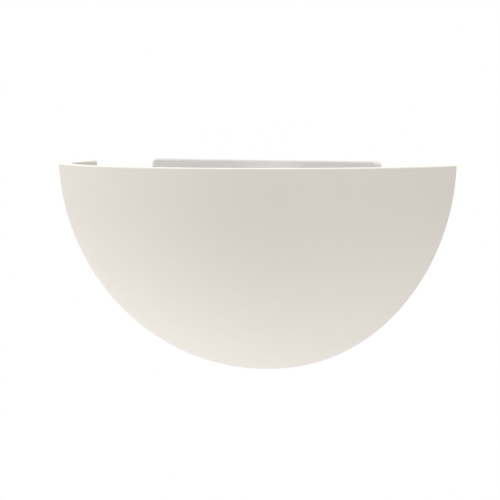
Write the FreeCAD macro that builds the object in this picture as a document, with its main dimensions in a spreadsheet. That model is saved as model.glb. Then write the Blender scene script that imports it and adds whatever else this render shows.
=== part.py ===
import FreeCAD, Part
import math
import os
import Sketcher

# An uplighter wall sconce, in millimetres. +Z is up, the wall is the plane y = 0 and the light stands out
# towards -Y. The origin lies on the wall, midway between the two wall-fixing slots.

SIZES = [
    # the plaster bowl
    ("rim_radius", 150, "outer radius of the rim, which is also how far the bowl stands out"),
    ("bowl_height", 149, "rim to the lowest point"),
    ("base_arc_radius", 145, "outer radius of the round bottom"),
    ("arc_join_angle", 40, "degrees from straight down to where the bottom meets the flank"),
    ("bowl_wall", 9, "wall of the bowl"),
    ("rim_round", 1, "rounding of the rim's edges"),
    ("rim_height", 70, "rim above the line of the wall fixings"),
    ("web_thickness", 8, "rear web that the studs pass through"),
    ("web_drop", 50, "rim to the top of the web"),
    ("web_hole_radius", 4, "stud hole in the web"),
    ("seat_gap", 0.2, "between the web and the plate"),
    # the pressed wall plate
    ("plate_width", 183.4, "wall plate, side to side"),
    ("plate_height", 96, "wall plate, top to bottom"),
    ("plate_rise", 3.4, "top of the plate above the rim"),
    ("plate_depth", 6, "face of the plate from the wall"),
    ("plate_sheet", 1.5, "steel of the plate"),
    ("plate_corner", 5, "corner radius of the plate"),
    ("plate_bend", 2.5, "outer radius of the plate's folded edge"),
    ("slot_spacing", 90, "wall-fixing slots, centre to centre"),
    ("slot_width", 5, "wall-fixing slot, across"),
    ("slot_length", 10, "wall-fixing slot, end to end"),
    ("well_radius", 9, "floor of the well round a slot"),
    ("well_taper", 30, "degrees that the well's side leans"),
    # the fixing of the bowl
    ("stud_spacing", 144, "weld studs, centre to centre"),
    ("stud_drop", 8, "studs below the line of the wall fixings"),
    ("stud_radius", 2, "thread of the weld studs"),
    ("stud_length", 24, "stud, from the face of the plate"),
    ("stud_flange_radius", 3.2, "weld flange of a stud"),
    ("stud_flange", 0.8, "thickness of the weld flange"),
    ("nut_height", 9.5, "thumb nut, overall"),
    ("nut_head_radius", 8, "knurled head of the thumb nut"),
    ("nut_head_height", 3.5, "thickness of the knurled head"),
    ("nut_collar_radius", 4, "collar of the thumb nut"),
    ("knurl_count", 24, "grooves round the thumb nut"),
    ("knurl_depth", 0.5, "depth of a groove"),
    ("thread_gap", 0.05, "radial play of the nut on its stud"),
    ("washer_radius", 8, "fibre washer"),
    ("washer_thickness", 1, "fibre washer"),
    ("touch_gap", 0.05, "between pieces that bear on each other and move"),
    # the folded lamp tray
    ("tray_sheet", 1.5, "steel of the tray"),
    ("tray_lift", 24, "underside of the tray above the line of the wall fixings"),
    ("tray_bend", 1.5, "inner bend radius of the tray"),
    ("tray_corner", 4, "rounding of the tray's corners"),
    ("arm_width", 60, "arm of the tray, side to side"),
    ("arm_flange", 12, "height of the flange riveted to the plate"),
    ("bar_depth", 30, "crossbar and ears, front to back"),
    ("ear_height", 42, "ears of the tray, from the underside"),
    ("ear_hole_radius", 6, "hole in the ear behind the live contact"),
    ("vent_length", 36, "vent slots in the crossbar"),
    ("vent_width", 6, "vent slots in the crossbar"),
    ("rivet_spacing", 40, "rivets of the tray, centre to centre"),
    ("rivet_drop", 5, "rivets below the top of the flange"),
    ("rivet_radius", 1.6, "shank of a rivet"),
    ("rivet_head_radius", 3.2, "head of a rivet"),
    ("rivet_head", 1.2, "height of a rivet's head"),
    ("rivet_tail_radius", 2.7, "closed end of a rivet, behind the plate"),
    ("rivet_tail", 1, "height of the closed end"),
    # the two-ended halogen lamp
    ("lamp_reach", 62, "axis of the lamp from the wall"),
    ("lamp_lift", 50, "axis of the lamp above the line of the wall fixings"),
    ("lamp_length", 117.6, "lamp, end to end"),
    ("contact_recess", 1.7, "depth of the recessed contact in a lamp end"),
    ("recess_radius", 2.2, "recess in a lamp end"),
    ("tube_radius", 5, "quartz tube"),
    ("tube_wall", 1, "wall of the quartz tube"),
    ("cap_radius", 3.7, "ceramic lamp end"),
    ("cap_length", 12, "ceramic lamp end"),
    ("cap_bevel", 0.5, "bevel at the outer end of a lamp end"),
    ("shoulder_length", 4, "rounded shoulder of the tube"),
    ("shoulder_step", 0.5, "step from the shoulder down to the neck"),
    ("neck_length", 1, "neck between the shoulder and the lamp end"),
    ("pinch_width", 5.6, "flat pinched end of the tube"),
    ("pinch_thickness", 2.2, "flat pinched end of the tube"),
    ("pinch_depth", 5, "how far the pinch enters the lamp end"),
    ("coil_radius", 0.8, "filament coil"),
    ("coil_length", 76, "filament coil"),
    ("lead_radius", 0.35, "filament lead"),
    # the steatite lampholders
    ("holder_gap", 1.8, "lamp end to the collar of its holder"),
    ("collar_length", 4, "collar of a lampholder"),
    ("collar_radius", 6.5, "collar of a lampholder"),
    ("mouth_radius", 4.3, "mouth of the collar"),
    ("holder_thickness", 16, "body of a lampholder, along the lamp"),
    ("holder_depth", 20, "body of a lampholder, front to back"),
    ("holder_height", 30, "body of a lampholder, top to bottom"),
    ("holder_round", 2, "rounding of the lampholder's edges"),
    ("nose_wall", 2.5, "wall in front of the spring chamber"),
    ("chamber_radius", 3.5, "spring chamber"),
    ("holder_screw_offset", 11, "fixing screws of a holder, above and below the lamp's axis"),
    ("holder_screw_skew", 5.5, "the same screws, out of line, so that they pass beside the tag"),
    ("pin_radius", 1.6, "contact pin"),
    ("pin_gap", 0.2, "play round the contact pin"),
    ("pin_shoulder_radius", 3.1, "shoulder of the contact pin"),
    ("pin_shoulder", 1.5, "thickness of the shoulder"),
    ("pin_preload", 1.5, "how far the lamp presses the pin in"),
    ("pin_tail_radius", 1.2, "tail of the pin, inside its spring"),
    ("pin_tail", 1.8, "length of the tail"),
    ("spring_space", 5.9, "length of the contact spring"),
    ("spring_radius", 2.4, "middle of the spring's wire from its axis"),
    ("spring_wire_radius", 0.3, "wire of the contact spring"),
    ("spring_turns", 5, "turns of the contact spring"),
    ("tag_thickness", 1.2, "brass tag behind the spring"),
    ("tag_width", 4.6, "brass tag behind the spring"),
    ("tag_drop", 2.5, "tag below its holder, to the crimp barrel"),
    ("tag_gap", 0.2, "play round the tag in its slot"),
    # the reflector
    ("reflector_length", 108, "reflector, along the lamp"),
    ("reflector_sheet", 0.8, "aluminium of the reflector"),
    ("trough_base", 20, "flat bottom of the reflector"),
    ("trough_radius", 16, "inner radius of the reflector's curve"),
    ("trough_angle", 65, "degrees that the wings rise from level"),
    ("wing_length", 20, "straight wing of the reflector"),
    ("reflector_screw_spacing", 70, "reflector screws, centre to centre"),
    # screws
    ("screw_radius", 1.5, "small screws"),
    ("screw_head_radius", 2.8, "head of a small screw"),
    ("screw_head", 2, "height of a small screw's head"),
    ("screw_gap", 0.1, "play round a screw"),
    ("holder_screw_length", 9, "lampholder screw"),
    ("reflector_screw_length", 5, "reflector screw"),
    ("plate_screw_length", 3, "screw into the plate, past what it holds"),
    ("driver_slot", 0.8, "width of a driver slot"),
    ("driver_depth", 0.9, "depth of a driver slot"),
    # the terminal block
    ("inlet_lift", 50, "middle of the electrical pieces above the wall fixings"),
    ("block_offset", 7.5, "middle of the terminal block from the middle of the light"),
    ("block_length", 40, "terminal block, side to side"),
    ("block_height", 16, "terminal block, top to bottom"),
    ("block_depth", 14, "terminal block, front to back"),
    ("pole_pitch", 12, "terminals, centre to centre"),
    ("insert_radius", 2.8, "brass terminal"),
    ("insert_bore_radius", 1.5, "bore of a brass terminal, on the light's own side"),
    ("supply_bore_radius", 1.8, "bore of a brass terminal, on the supply's side"),
    ("supply_bore_length", 6, "supply's side, down to the step that stops its wire"),
    ("insert_length", 12, "brass terminal"),
    ("insert_gap", 0.1, "play round a brass terminal"),
    ("pole_screw_offset", 3.5, "terminal screws from the middle of the block"),
    ("pole_screw_radius", 1.2, "thread of a terminal screw"),
    ("pole_head_radius", 1.9, "head of a terminal screw"),
    ("pole_head", 2.5, "head of a terminal screw"),
    ("block_sink", 4, "depth of the fixing screws' counterbores"),
    # the cable inlet and the earth
    ("inlet_offset", 45, "cable grommet from the middle of the light"),
    ("grommet_bore_radius", 4.5, "bore of the cable grommet"),
    ("grommet_neck_radius", 6.5, "neck of the grommet, in the plate"),
    ("grommet_flange_radius", 9, "flanges of the grommet"),
    ("grommet_flange", 1.5, "thickness of a flange"),
    ("clamp_offset", 28, "cable clamp from the middle of the light"),
    ("clamp_width", 8, "cable clamp"),
    ("clamp_sheet", 1.5, "cable clamp"),
    ("clamp_bore_radius", 4.2, "arch of the cable clamp"),
    ("clamp_foot", 8, "foot of the cable clamp"),
    ("earth_offset", 50, "earth screw from the middle of the light"),
    ("earth_screw_radius", 2, "earth screw"),
    ("earth_head_radius", 4, "head of the earth screw"),
    ("earth_head", 2.6, "height of the earth screw's head"),
    ("earth_tag_radius", 4.4, "ring of the earth tag"),
    ("earth_tag_sheet", 0.8, "earth tag"),
    ("barrel_radius", 1.9, "crimp barrel"),
    ("barrel_length", 5, "crimp barrel"),
    ("earth_neck", 8, "middle of the earth screw to the crimp barrel"),
    # the light's own wires
    ("wire_radius", 1.2, "internal wire, over its sleeve"),
    ("crimp_gap", 0.1, "play of a wire in its barrel"),
    ("turn_lift", 34, "first turn of a wire, under the terminals, above the wall fixings"),
    ("knee_offset", 29, "second turn of a lamp wire from the middle of the light"),
    ("knee_lift", 30, "second turn of a lamp wire above the wall fixings"),
    ("live_knee_reach", 14.5, "second turn of the live wire from the wall"),
    ("neutral_knee_reach", 19.5, "second turn of the neutral wire from the wall, in front of the earth wire"),
    ("corner_offset", 60, "third turn of a lamp wire from the middle of the light"),
    ("corner_reach", 21, "third turn of a lamp wire from the wall"),
    ("corner_lift", 31.5, "third turn of a lamp wire above the wall fixings"),
    ("last_turn_reach", 36, "last turn of a lamp wire from the wall"),
    ("earth_knee_offset", 35, "second turn of the earth wire from the middle of the light"),
    ("earth_knee_reach", 12, "second turn of the earth wire from the wall"),
    ("earth_knee_lift", 27.5, "second turn of the earth wire above the wall fixings"),
    ("earth_rise_lift", 31, "last turn of the earth wire above the wall fixings"),
]

document = FreeCAD.newDocument("uplighter_wall_sconce")
sheet = document.addObject("Spreadsheet::Sheet", "sizes")
for row, (alias, value, meaning) in enumerate(SIZES, start=1):
    sheet.set(f"A{row}", alias)
    sheet.set(f"B{row}", str(value))
    sheet.set(f"C{row}", meaning)
    sheet.setAlias(f"B{row}", alias)
document.recompute()

# Places that several pieces share, as expressions of the sheet's sizes.
RIM = "sizes.rim_height"
WEB_REAR = "(sizes.plate_depth + sizes.seat_gap)"
WEB_FRONT = f"({WEB_REAR} + sizes.web_thickness)"
PLATE_TOP = "(sizes.rim_height + sizes.plate_rise)"
PLATE_BOTTOM = f"({PLATE_TOP} - sizes.plate_height)"
SHELF_TOP = "(sizes.tray_lift + sizes.tray_sheet)"
FLANGE_FACE = "(sizes.plate_depth + sizes.tray_sheet)"
RIVET_LIFT = "(sizes.tray_lift + sizes.arm_flange - sizes.rivet_drop)"
COLLAR_FACE = "(sizes.lamp_length / 2 + sizes.holder_gap)"
HOLDER_LENGTH = "(sizes.collar_length + sizes.holder_thickness)"
EAR_INSIDE = f"({COLLAR_FACE} + {HOLDER_LENGTH})"
EAR_OUTSIDE = f"({EAR_INSIDE} + sizes.tray_sheet)"
PIN_TIP = "(sizes.lamp_length / 2 - sizes.contact_recess + sizes.touch_gap)"
SHOULDER_FACE = "(sizes.collar_length + sizes.nose_wall + sizes.pin_preload)"
SPRING_START = f"({SHOULDER_FACE} + sizes.pin_shoulder)"
TAG_PLACE = f"({SPRING_START} + sizes.spring_space)"
TAG_MIDDLE = f"({TAG_PLACE} + sizes.tag_thickness / 2)"
BARREL_DROP = "(sizes.holder_height / 2 + sizes.tag_drop + sizes.barrel_radius)"
CAP_INNER = "(sizes.lamp_length / 2 - sizes.cap_length)"
SHOULDER_END = f"({CAP_INNER} - sizes.neck_length)"
TUBE_HALF = f"({SHOULDER_END} - sizes.shoulder_length)"
BLOCK_MIDDLE = "(sizes.plate_depth + sizes.block_depth / 2)"
BLOCK_FACE = "(sizes.plate_depth + sizes.block_depth)"
CLAMP_HALF = "(sizes.clamp_bore_radius + sizes.clamp_sheet + sizes.clamp_foot)"
CLAMP_SCREW = f"({CLAMP_HALF} - sizes.clamp_foot / 2)"
CLEAR_CUT = "1"  # how far a cut runs past what it cuts

X_AXIS = FreeCAD.Vector(1, 0, 0)
Y_AXIS = FreeCAD.Vector(0, 1, 0)
Z_AXIS = FreeCAD.Vector(0, 0, 1)
UPRIGHT = FreeCAD.Rotation()
TO_FRONT = FreeCAD.Rotation(X_AXIS, 90)
TO_RIGHT = FreeCAD.Rotation(Y_AXIS, 90)
TO_LEFT = FreeCAD.Rotation(Y_AXIS, -90)
HALF_TURN = FreeCAD.Rotation(Z_AXIS, 180)

# Sides of the light: its name, the sign of x, and how a piece made for the right is turned.
SIDES = [("left", "-", TO_LEFT, HALF_TURN), ("right", "", TO_RIGHT, UPRIGHT)]

pieces = []


def number(expression):
    """The value of an expression of the sheet's sizes."""
    return float(sheet.evalExpression(expression))


def minus(expression):
    """The expression with its sign changed."""
    return f"-({expression})"


def keep(piece, label):
    """Name a finished piece, which is written out under its label."""
    piece.Label = label
    pieces.append(piece)
    return piece


def place(piece, at, turn=UPRIGHT):
    """Turn a piece, and tie its place to the sheet."""
    piece.Placement = FreeCAD.Placement(FreeCAD.Vector(), turn)
    for axis, expression in zip("xyz", at):
        piece.setExpression(f"Placement.Base.{axis}", expression)


def new_body(name):
    return document.addObject("PartDesign::Body", f"{name}_body")


def sketch_on(body, role, lift="0"):
    """A sketch on one of the body's origin planes, lifted along the plane's normal."""
    sketch = body.newObject("Sketcher::SketchObject", f"{body.Name}_sketch")
    plane = next(feature for feature in body.Origin.OriginFeatures if feature.Role == role)
    sketch.AttachmentSupport = [(plane, "")]
    sketch.MapMode = "FlatFace"
    sketch.setExpression("AttachmentOffset.Base.z", lift)
    return sketch


def bind(sketch, kind, geometry, expression):
    """Add a constraint whose value follows an expression."""
    index = sketch.addConstraint(Sketcher.Constraint(kind, *geometry, number(expression)))
    sketch.setExpression(f"Constraints[{index}]", expression)


def locate(sketch, element, end, across, up):
    """Hold one point of the sketch by its two distances from the origin."""
    bind(sketch, "DistanceX", (-1, 1, element, end), across)
    bind(sketch, "DistanceY", (-1, 1, element, end), up)


def arc_between(here, there, radius):
    """The shorter arc between two points. It turns left if the radius is positive, and right if not."""
    chord = there - here
    side = math.copysign(1, radius)
    rise = math.sqrt(max(radius * radius - (chord.Length / 2) ** 2, 0))
    across = FreeCAD.Vector(-chord.y, chord.x, 0).normalize()
    centre = (here + there) / 2 + across * rise * side
    start, end = (here, there) if side > 0 else (there, here)
    first = math.atan2(start.y - centre.y, start.x - centre.x)
    last = math.atan2(end.y - centre.y, end.x - centre.x)
    if last <= first:
        last += 2 * math.pi
    return Part.ArcOfCircle(Part.Circle(centre, Z_AXIS, abs(radius)), first, last)


def outline(sketch, corners):
    """Draw a closed outline through corners of (across, up).

    A corner with a third value is left along an arc of that radius, which turns left, or right if the
    radius has a leading minus. A half circle stands on an upright chord, and is held by its centre.
    """
    spots = [FreeCAD.Vector(number(corner[0]), number(corner[1]), 0) for corner in corners]
    elements = []
    for index, corner in enumerate(corners):
        here, there = spots[index], spots[(index + 1) % len(spots)]
        if len(corner) == 2:
            elements.append((sketch.addGeometry(Part.LineSegment(here, there)), 1, 2))
            continue
        radius = number(corner[2])
        element = sketch.addGeometry(arc_between(here, there, radius))
        if (there - here).Length > 1.999 * abs(radius):
            bind(sketch, "DistanceX", (-1, 1, element, 3), corner[0])
        else:
            bind(sketch, "Radius", (element,), corner[2].lstrip("-"))
        elements.append((element, 1, 2) if radius > 0 else (element, 2, 1))
    for index, corner in enumerate(corners):
        element, start, end = elements[index]
        following, following_start, _ = elements[(index + 1) % len(elements)]
        locate(sketch, element, start, corner[0], corner[1])
        sketch.addConstraint(Sketcher.Constraint("Coincident", element, end, following, following_start))


def rectangle(sketch, left, right, bottom, top):
    outline(sketch, [(left, bottom), (right, bottom), (right, top), (left, top)])


def circle(sketch, across, up, radius):
    spot = FreeCAD.Vector(number(across), number(up), 0)
    element = sketch.addGeometry(Part.Circle(spot, Z_AXIS, number(radius)))
    locate(sketch, element, 3, across, up)
    bind(sketch, "Radius", (element,), radius)


def slot(sketch, across, up, length, width):
    """A level slot with round ends."""
    half = f"(({length}) - ({width})) / 2"
    left, right = f"{across} - {half}", f"{across} + {half}"
    low, high = f"{up} - ({width}) / 2", f"{up} + ({width}) / 2"
    radius = f"({width}) / 2"
    outline(sketch, [(left, low), (right, low, radius), (right, high), (left, high, radius)])


def pad(sketch, length, reverse=False, middle=False, taper=None):
    body = sketch.getParentGeoFeatureGroup()
    feature = body.newObject("PartDesign::Pad", f"{body.Name}_pad")
    feature.Profile = sketch
    feature.setExpression("Length", length)
    feature.Reversed = reverse
    if middle:
        feature.SideType = "Symmetric"
    if taper:
        feature.setExpression("TaperAngle", taper)
    return feature


def pocket(sketch, length=None, reverse=False, taper=None):
    """Cut the sketch away: to a depth against its normal, or right through the body both ways."""
    body = sketch.getParentGeoFeatureGroup()
    document.recompute()
    before = body.Shape.Volume
    feature = body.newObject("PartDesign::Pocket", f"{body.Name}_pocket")
    feature.Profile = sketch
    feature.Reversed = reverse
    if length:
        feature.setExpression("Length", length)
    else:
        feature.SideType = "Symmetric"
        feature.Type = "ThroughAll"
    if taper:
        feature.setExpression("TaperAngle", taper)
    document.recompute()
    if body.Shape.Volume >= before:
        raise ValueError(f"{feature.Name} cuts nothing")
    return feature


def revolve(sketch, axis="V_Axis", angle=360, reverse=False):
    body = sketch.getParentGeoFeatureGroup()
    feature = body.newObject("PartDesign::Revolution", f"{body.Name}_revolution")
    feature.Profile = sketch
    feature.ReferenceAxis = (sketch, [axis])
    feature.Angle = angle
    feature.Reversed = reverse
    return feature


def turned(name, corners, at, turn):
    """A piece turned about its own Z axis from an outline of (radius, height)."""
    body = new_body(name)
    outline(sketch_on(body, "XZ_Plane"), corners)
    revolve(body.Group[-1])
    place(body, at, turn)
    return body


def mirror(feature):
    """Repeat a feature on the other side of the middle of the light."""
    body = feature.getParentGeoFeatureGroup()
    copy = body.newObject("PartDesign::Mirrored", f"{body.Name}_mirrored")
    copy.Originals = [feature]
    plane = next(item for item in body.Origin.OriginFeatures if item.Role == "YZ_Plane")
    copy.MirrorPlane = (plane, [""])
    body.Tip = copy
    return copy


def edges_where(shape, test):
    """Names of the edges whose ends and middle all pass a test."""
    names = []
    for index, edge in enumerate(shape.Edges, start=1):
        middle = edge.valueAt((edge.FirstParameter + edge.LastParameter) / 2)
        if all(test(spot) for spot in [vertex.Point for vertex in edge.Vertexes] + [middle]):
            names.append(f"Edge{index}")
    return names


def near(value, expression):
    return abs(value - number(expression)) < 0.01


def round_edges(body, test, radius):
    """Round the edges of the body that pass a test."""
    document.recompute()
    base = body.Tip
    feature = body.newObject("PartDesign::Fillet", f"{body.Name}_fillet")
    feature.Base = (base, edges_where(base.Shape, test))
    feature.setExpression("Radius", radius)
    document.recompute()
    return feature


def group(label, members):
    """Several separate solids that share a name."""
    compound = document.addObject("Part::Compound", f"{label}_group")
    compound.Links = members
    return keep(compound, label)


def boolean(kind, name, base, tool):
    feature = document.addObject(kind, name)
    feature.Base = base
    feature.Tool = tool
    return feature


def screw(name, at, turn, shank, head, height, length):
    """A pan-head screw with a driver slot. It stands on the surface at its place."""
    corners = [
        ("0", minus(length)),
        (f"{shank} * 0.7", minus(length)),
        (shank, f"-({length}) + {shank} * 0.3"),
        (shank, "0"),
        (head, "0"),
        (head, f"{height} * 0.5", f"{head} * 0.6"),
        (f"{head} * 0.55", height),
        ("0", height),
    ]
    body = turned(name, corners, at, turn)
    slot_sketch = sketch_on(body, "XY_Plane", height)
    half = "sizes.driver_slot / 2"
    rectangle(slot_sketch, minus(f"{head} * 1.1"), f"{head} * 1.1", minus(half), half)
    pocket(slot_sketch, "sizes.driver_depth")
    return body


def small_screw(name, at, turn, length):
    return screw(name, at, turn, "sizes.screw_radius", "sizes.screw_head_radius", "sizes.screw_head", length)


# ---- bowl ------------------------------------------------------------------------------------------

# The outside is a round bottom that runs into a flatter flank, which ends at the rim. Q is how much
# larger the flank's radius is than the bottom's, so that the two arcs are tangent where they join.
SINE = "sin(sizes.arc_join_angle * 1deg)"
COSINE = "cos(sizes.arc_join_angle * 1deg)"
DROP = "(sizes.bowl_height - sizes.base_arc_radius)"
Q = (
    f"((sizes.rim_radius^2 + {DROP}^2 - sizes.base_arc_radius^2)"
    f" / (2 * sizes.base_arc_radius - 2 * sizes.rim_radius * {SINE} + 2 * {DROP} * {COSINE}))"
)


def bowl_half(name, inset):
    """Half of the bowl's round form, filled, with its surface moved in by an inset."""
    base_radius = f"(sizes.base_arc_radius - {inset})"
    flank_radius = f"({base_radius} + {Q})"
    flank_rise = f"({Q} * {COSINE} - {DROP})"
    rim = f"sqrt({flank_radius}^2 - {flank_rise}^2) - {Q} * {SINE}"
    body = new_body(name)
    section = sketch_on(body, "XZ_Plane")
    outline(
        section,
        [
            ("0", f"{RIM} - sizes.bowl_height + {inset}", base_radius),
            (f"{base_radius} * {SINE}", f"{RIM} - {DROP} - {base_radius} * {COSINE}", flank_radius),
            (rim, RIM),
            ("0", RIM),
        ],
    )
    revolve(section, angle=180, reverse=True)
    return body


outside = bowl_half("bowl_outside", "0")
inside = bowl_half("bowl_inside", "sizes.bowl_wall")
web_slab = document.addObject("Part::Box", "web_slab")
web_slab.setExpression("Length", "2 * sizes.rim_radius")
web_slab.setExpression("Width", "sizes.web_thickness")
web_slab.setExpression("Height", "sizes.bowl_height")
place(web_slab, ("-sizes.rim_radius", minus(WEB_FRONT), f"{RIM} - sizes.web_drop - sizes.bowl_height"))
hollow = boolean("Part::Cut", "bowl_hollow", inside, web_slab)
blank = boolean("Part::Cut", "bowl_blank", outside, hollow)
for side, sign, _, _ in SIDES:
    drill = document.addObject("Part::Cylinder", f"web_drill_{side}")
    drill.setExpression("Radius", "sizes.web_hole_radius")
    drill.setExpression("Height", f"{WEB_FRONT} + {CLEAR_CUT}")
    place(drill, (f"{sign}sizes.stud_spacing / 2", "0", "-sizes.stud_drop"), TO_FRONT)
    blank = boolean("Part::Cut", f"bowl_drilled_{side}", blank, drill)
document.recompute()
rim_edges = [
    int(name[4:])
    for name in edges_where(blank.Shape, lambda spot: near(spot.z, RIM))
    if blank.Shape.Edges[int(name[4:]) - 1].Length > number("sizes.rim_radius")
]
bowl = document.addObject("Part::Fillet", "bowl_rounded")
bowl.Base = blank
bowl.Edges = [(edge, number("sizes.rim_round"), number("sizes.rim_round")) for edge in rim_edges]
keep(bowl, "bowl")

# ---- wall plate ------------------------------------------------------------------------------------

plate = new_body("wall_plate")
face = sketch_on(plate, "XZ_Plane")
rectangle(face, "-sizes.plate_width / 2", "sizes.plate_width / 2", PLATE_BOTTOM, PLATE_TOP)
pad(face, "sizes.plate_depth")
round_edges(
    plate,
    lambda spot: near(abs(spot.x), "sizes.plate_width / 2")
    and (near(spot.z, PLATE_TOP) or near(spot.z, PLATE_BOTTOM)),
    "sizes.plate_corner",
)
round_edges(plate, lambda spot: near(spot.y, "-sizes.plate_depth"), "sizes.plate_bend")
solid_plate = plate.Tip
shell = plate.newObject("PartDesign::Thickness", "wall_plate_shell")
back = next(i for i, f in enumerate(solid_plate.Shape.Faces, start=1) if abs(f.BoundBox.YMin) < 0.01)
shell.Base = (solid_plate, [f"Face{back}"])
shell.setExpression("Value", "sizes.plate_sheet")
shell.Reversed = True
shell.Join = "Intersection"

# Each wall fixing sits in a pressed well, whose floor lies on the wall.
wells = sketch_on(plate, "XZ_Plane")
for sign in ("-", ""):
    circle(wells, f"{sign}sizes.slot_spacing / 2", "0", "sizes.well_radius + sizes.plate_sheet")
pad(wells, "sizes.plate_depth", taper="sizes.well_taper")
well_insides = sketch_on(plate, "XZ_Plane", "sizes.plate_sheet")
for sign in ("-", ""):
    circle(well_insides, f"{sign}sizes.slot_spacing / 2", "0", "sizes.well_radius")
pocket(well_insides, "sizes.plate_depth", reverse=True, taper="sizes.well_taper")

openings = sketch_on(plate, "XZ_Plane")
for sign in ("-", ""):
    slot(openings, f"{sign}sizes.slot_spacing / 2", "0", "sizes.slot_length", "sizes.slot_width")
    circle(openings, f"{sign}sizes.rivet_spacing / 2", RIVET_LIFT, "sizes.rivet_radius + sizes.thread_gap")
    circle(
        openings,
        "-sizes.clamp_offset",
        f"sizes.inlet_lift {sign or '+'} {CLAMP_SCREW}",
        "sizes.screw_radius + sizes.screw_gap",
    )
    circle(
        openings,
        f"sizes.block_offset {sign or '+'} sizes.pole_pitch / 2",
        "sizes.inlet_lift",
        "sizes.screw_radius + sizes.screw_gap",
    )
circle(openings, "-sizes.inlet_offset", "sizes.inlet_lift", "sizes.grommet_neck_radius + sizes.screw_gap")
circle(openings, "sizes.earth_offset", "sizes.inlet_lift", "sizes.earth_screw_radius + sizes.screw_gap")
pocket(openings)
keep(plate, "wall_plate")

# ---- fixing of the bowl ----------------------------------------------------------------------------

studs = []
for side, sign, _, _ in SIDES:
    spot = (f"{sign}sizes.stud_spacing / 2", "-sizes.plate_depth", "-sizes.stud_drop")
    studs.append(
        turned(
            f"stud_{side}",
            [
                ("0", "0"),
                ("sizes.stud_flange_radius", "0"),
                ("sizes.stud_flange_radius", "sizes.stud_flange"),
                ("sizes.stud_radius", "sizes.stud_flange"),
                ("sizes.stud_radius", "sizes.stud_length - sizes.stud_radius * 0.3"),
                ("sizes.stud_radius * 0.7", "sizes.stud_length"),
                ("0", "sizes.stud_length"),
            ],
            spot,
            TO_FRONT,
        )
    )
    washer_bore = "sizes.stud_radius + 4 * sizes.thread_gap"
    washer = turned(
        f"nut_washer_{side}",
        [
            (washer_bore, "0"),
            ("sizes.washer_radius", "0"),
            ("sizes.washer_radius", "sizes.washer_thickness"),
            (washer_bore, "sizes.washer_thickness"),
        ],
        (spot[0], f"-({WEB_FRONT} + sizes.touch_gap)", spot[2]),
        TO_FRONT,
    )
    keep(washer, f"nut_washer_{side}")
    bore = "sizes.stud_radius + sizes.thread_gap"
    head_start = "(sizes.nut_height - sizes.nut_head_height)"
    nut = turned(
        f"thumb_nut_{side}",
        [
            (bore, "0"),
            ("sizes.nut_collar_radius", "0"),
            ("sizes.nut_collar_radius", head_start),
            ("sizes.nut_head_radius - sizes.knurl_depth", head_start),
            ("sizes.nut_head_radius", f"{head_start} + sizes.knurl_depth"),
            ("sizes.nut_head_radius", "sizes.nut_height - sizes.knurl_depth"),
            ("sizes.nut_head_radius - sizes.knurl_depth", "sizes.nut_height"),
            (bore, "sizes.nut_height"),
        ],
        (spot[0], f"-({WEB_FRONT} + sizes.washer_thickness + 2 * sizes.touch_gap)", spot[2]),
        TO_FRONT,
    )
    groove = sketch_on(nut, "XY_Plane", "sizes.nut_height")
    outline(
        groove,
        [
            ("sizes.nut_head_radius - sizes.knurl_depth", "0"),
            ("sizes.nut_head_radius + sizes.knurl_depth", "-2 * sizes.knurl_depth"),
            ("sizes.nut_head_radius + sizes.knurl_depth", "2 * sizes.knurl_depth"),
        ],
    )
    cut = pocket(groove, "sizes.nut_head_height")
    knurl = nut.newObject("PartDesign::PolarPattern", f"knurl_{side}")
    knurl.Originals = [cut]
    knurl.Axis = (groove, ["N_Axis"])
    knurl.Angle = 360
    knurl.setExpression("Occurrences", "sizes.knurl_count")
    nut.Tip = knurl
    keep(nut, f"thumb_nut_{side}")
group("bowl_studs", studs)

# ---- lamp tray -------------------------------------------------------------------------------------


def holder_fixings(side):
    """Both fixing screws of a lampholder, as (across, up). The left holder is the right one turned."""
    rear, front = ("+", "-") if side == "right" else ("-", "+")
    return [
        (f"-sizes.lamp_reach {rear} sizes.holder_screw_skew", "sizes.lamp_lift + sizes.holder_screw_offset"),
        (f"-sizes.lamp_reach {front} sizes.holder_screw_skew", "sizes.lamp_lift - sizes.holder_screw_offset"),
    ]


tray = new_body("lamp_tray")
arm = "sizes.arm_width / 2"
bar_rear = "-sizes.lamp_reach + sizes.bar_depth / 2"
bar_front = "-sizes.lamp_reach - sizes.bar_depth / 2"
shelf = sketch_on(tray, "XY_Plane", "sizes.tray_lift")
outline(
    shelf,
    [
        (minus(arm), "-sizes.plate_depth"),
        (minus(arm), bar_rear),
        (minus(EAR_OUTSIDE), bar_rear),
        (minus(EAR_OUTSIDE), bar_front),
        (EAR_OUTSIDE, bar_front),
        (EAR_OUTSIDE, bar_rear),
        (arm, bar_rear),
        (arm, "-sizes.plate_depth"),
    ],
)
pad(shelf, "sizes.tray_sheet")
flange = sketch_on(tray, "XZ_Plane", "sizes.plate_depth")
rectangle(flange, minus(arm), arm, "sizes.tray_lift", "sizes.tray_lift + sizes.arm_flange")
pad(flange, "sizes.tray_sheet")
ear = sketch_on(tray, "YZ_Plane", EAR_INSIDE)
rectangle(ear, bar_front, bar_rear, "sizes.tray_lift", "sizes.tray_lift + sizes.ear_height")
mirror(pad(ear, "sizes.tray_sheet"))
round_edges(
    tray,
    lambda spot: near(spot.z, "sizes.tray_lift")
    and (near(abs(spot.x), EAR_OUTSIDE) or near(spot.y, "-sizes.plate_depth")),
    "sizes.tray_bend + sizes.tray_sheet",
)
round_edges(
    tray,
    lambda spot: near(spot.z, SHELF_TOP)
    and (near(abs(spot.x), EAR_INSIDE) or near(spot.y, minus(FLANGE_FACE))),
    "sizes.tray_bend",
)
round_edges(
    tray,
    lambda spot: near(spot.z, "sizes.tray_lift + sizes.ear_height")
    and (near(spot.y, bar_front) or near(spot.y, bar_rear)),
    "sizes.tray_corner",
)
round_edges(tray, lambda spot: near(abs(spot.x), arm) and near(spot.y, bar_rear), "sizes.tray_corner")

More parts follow.
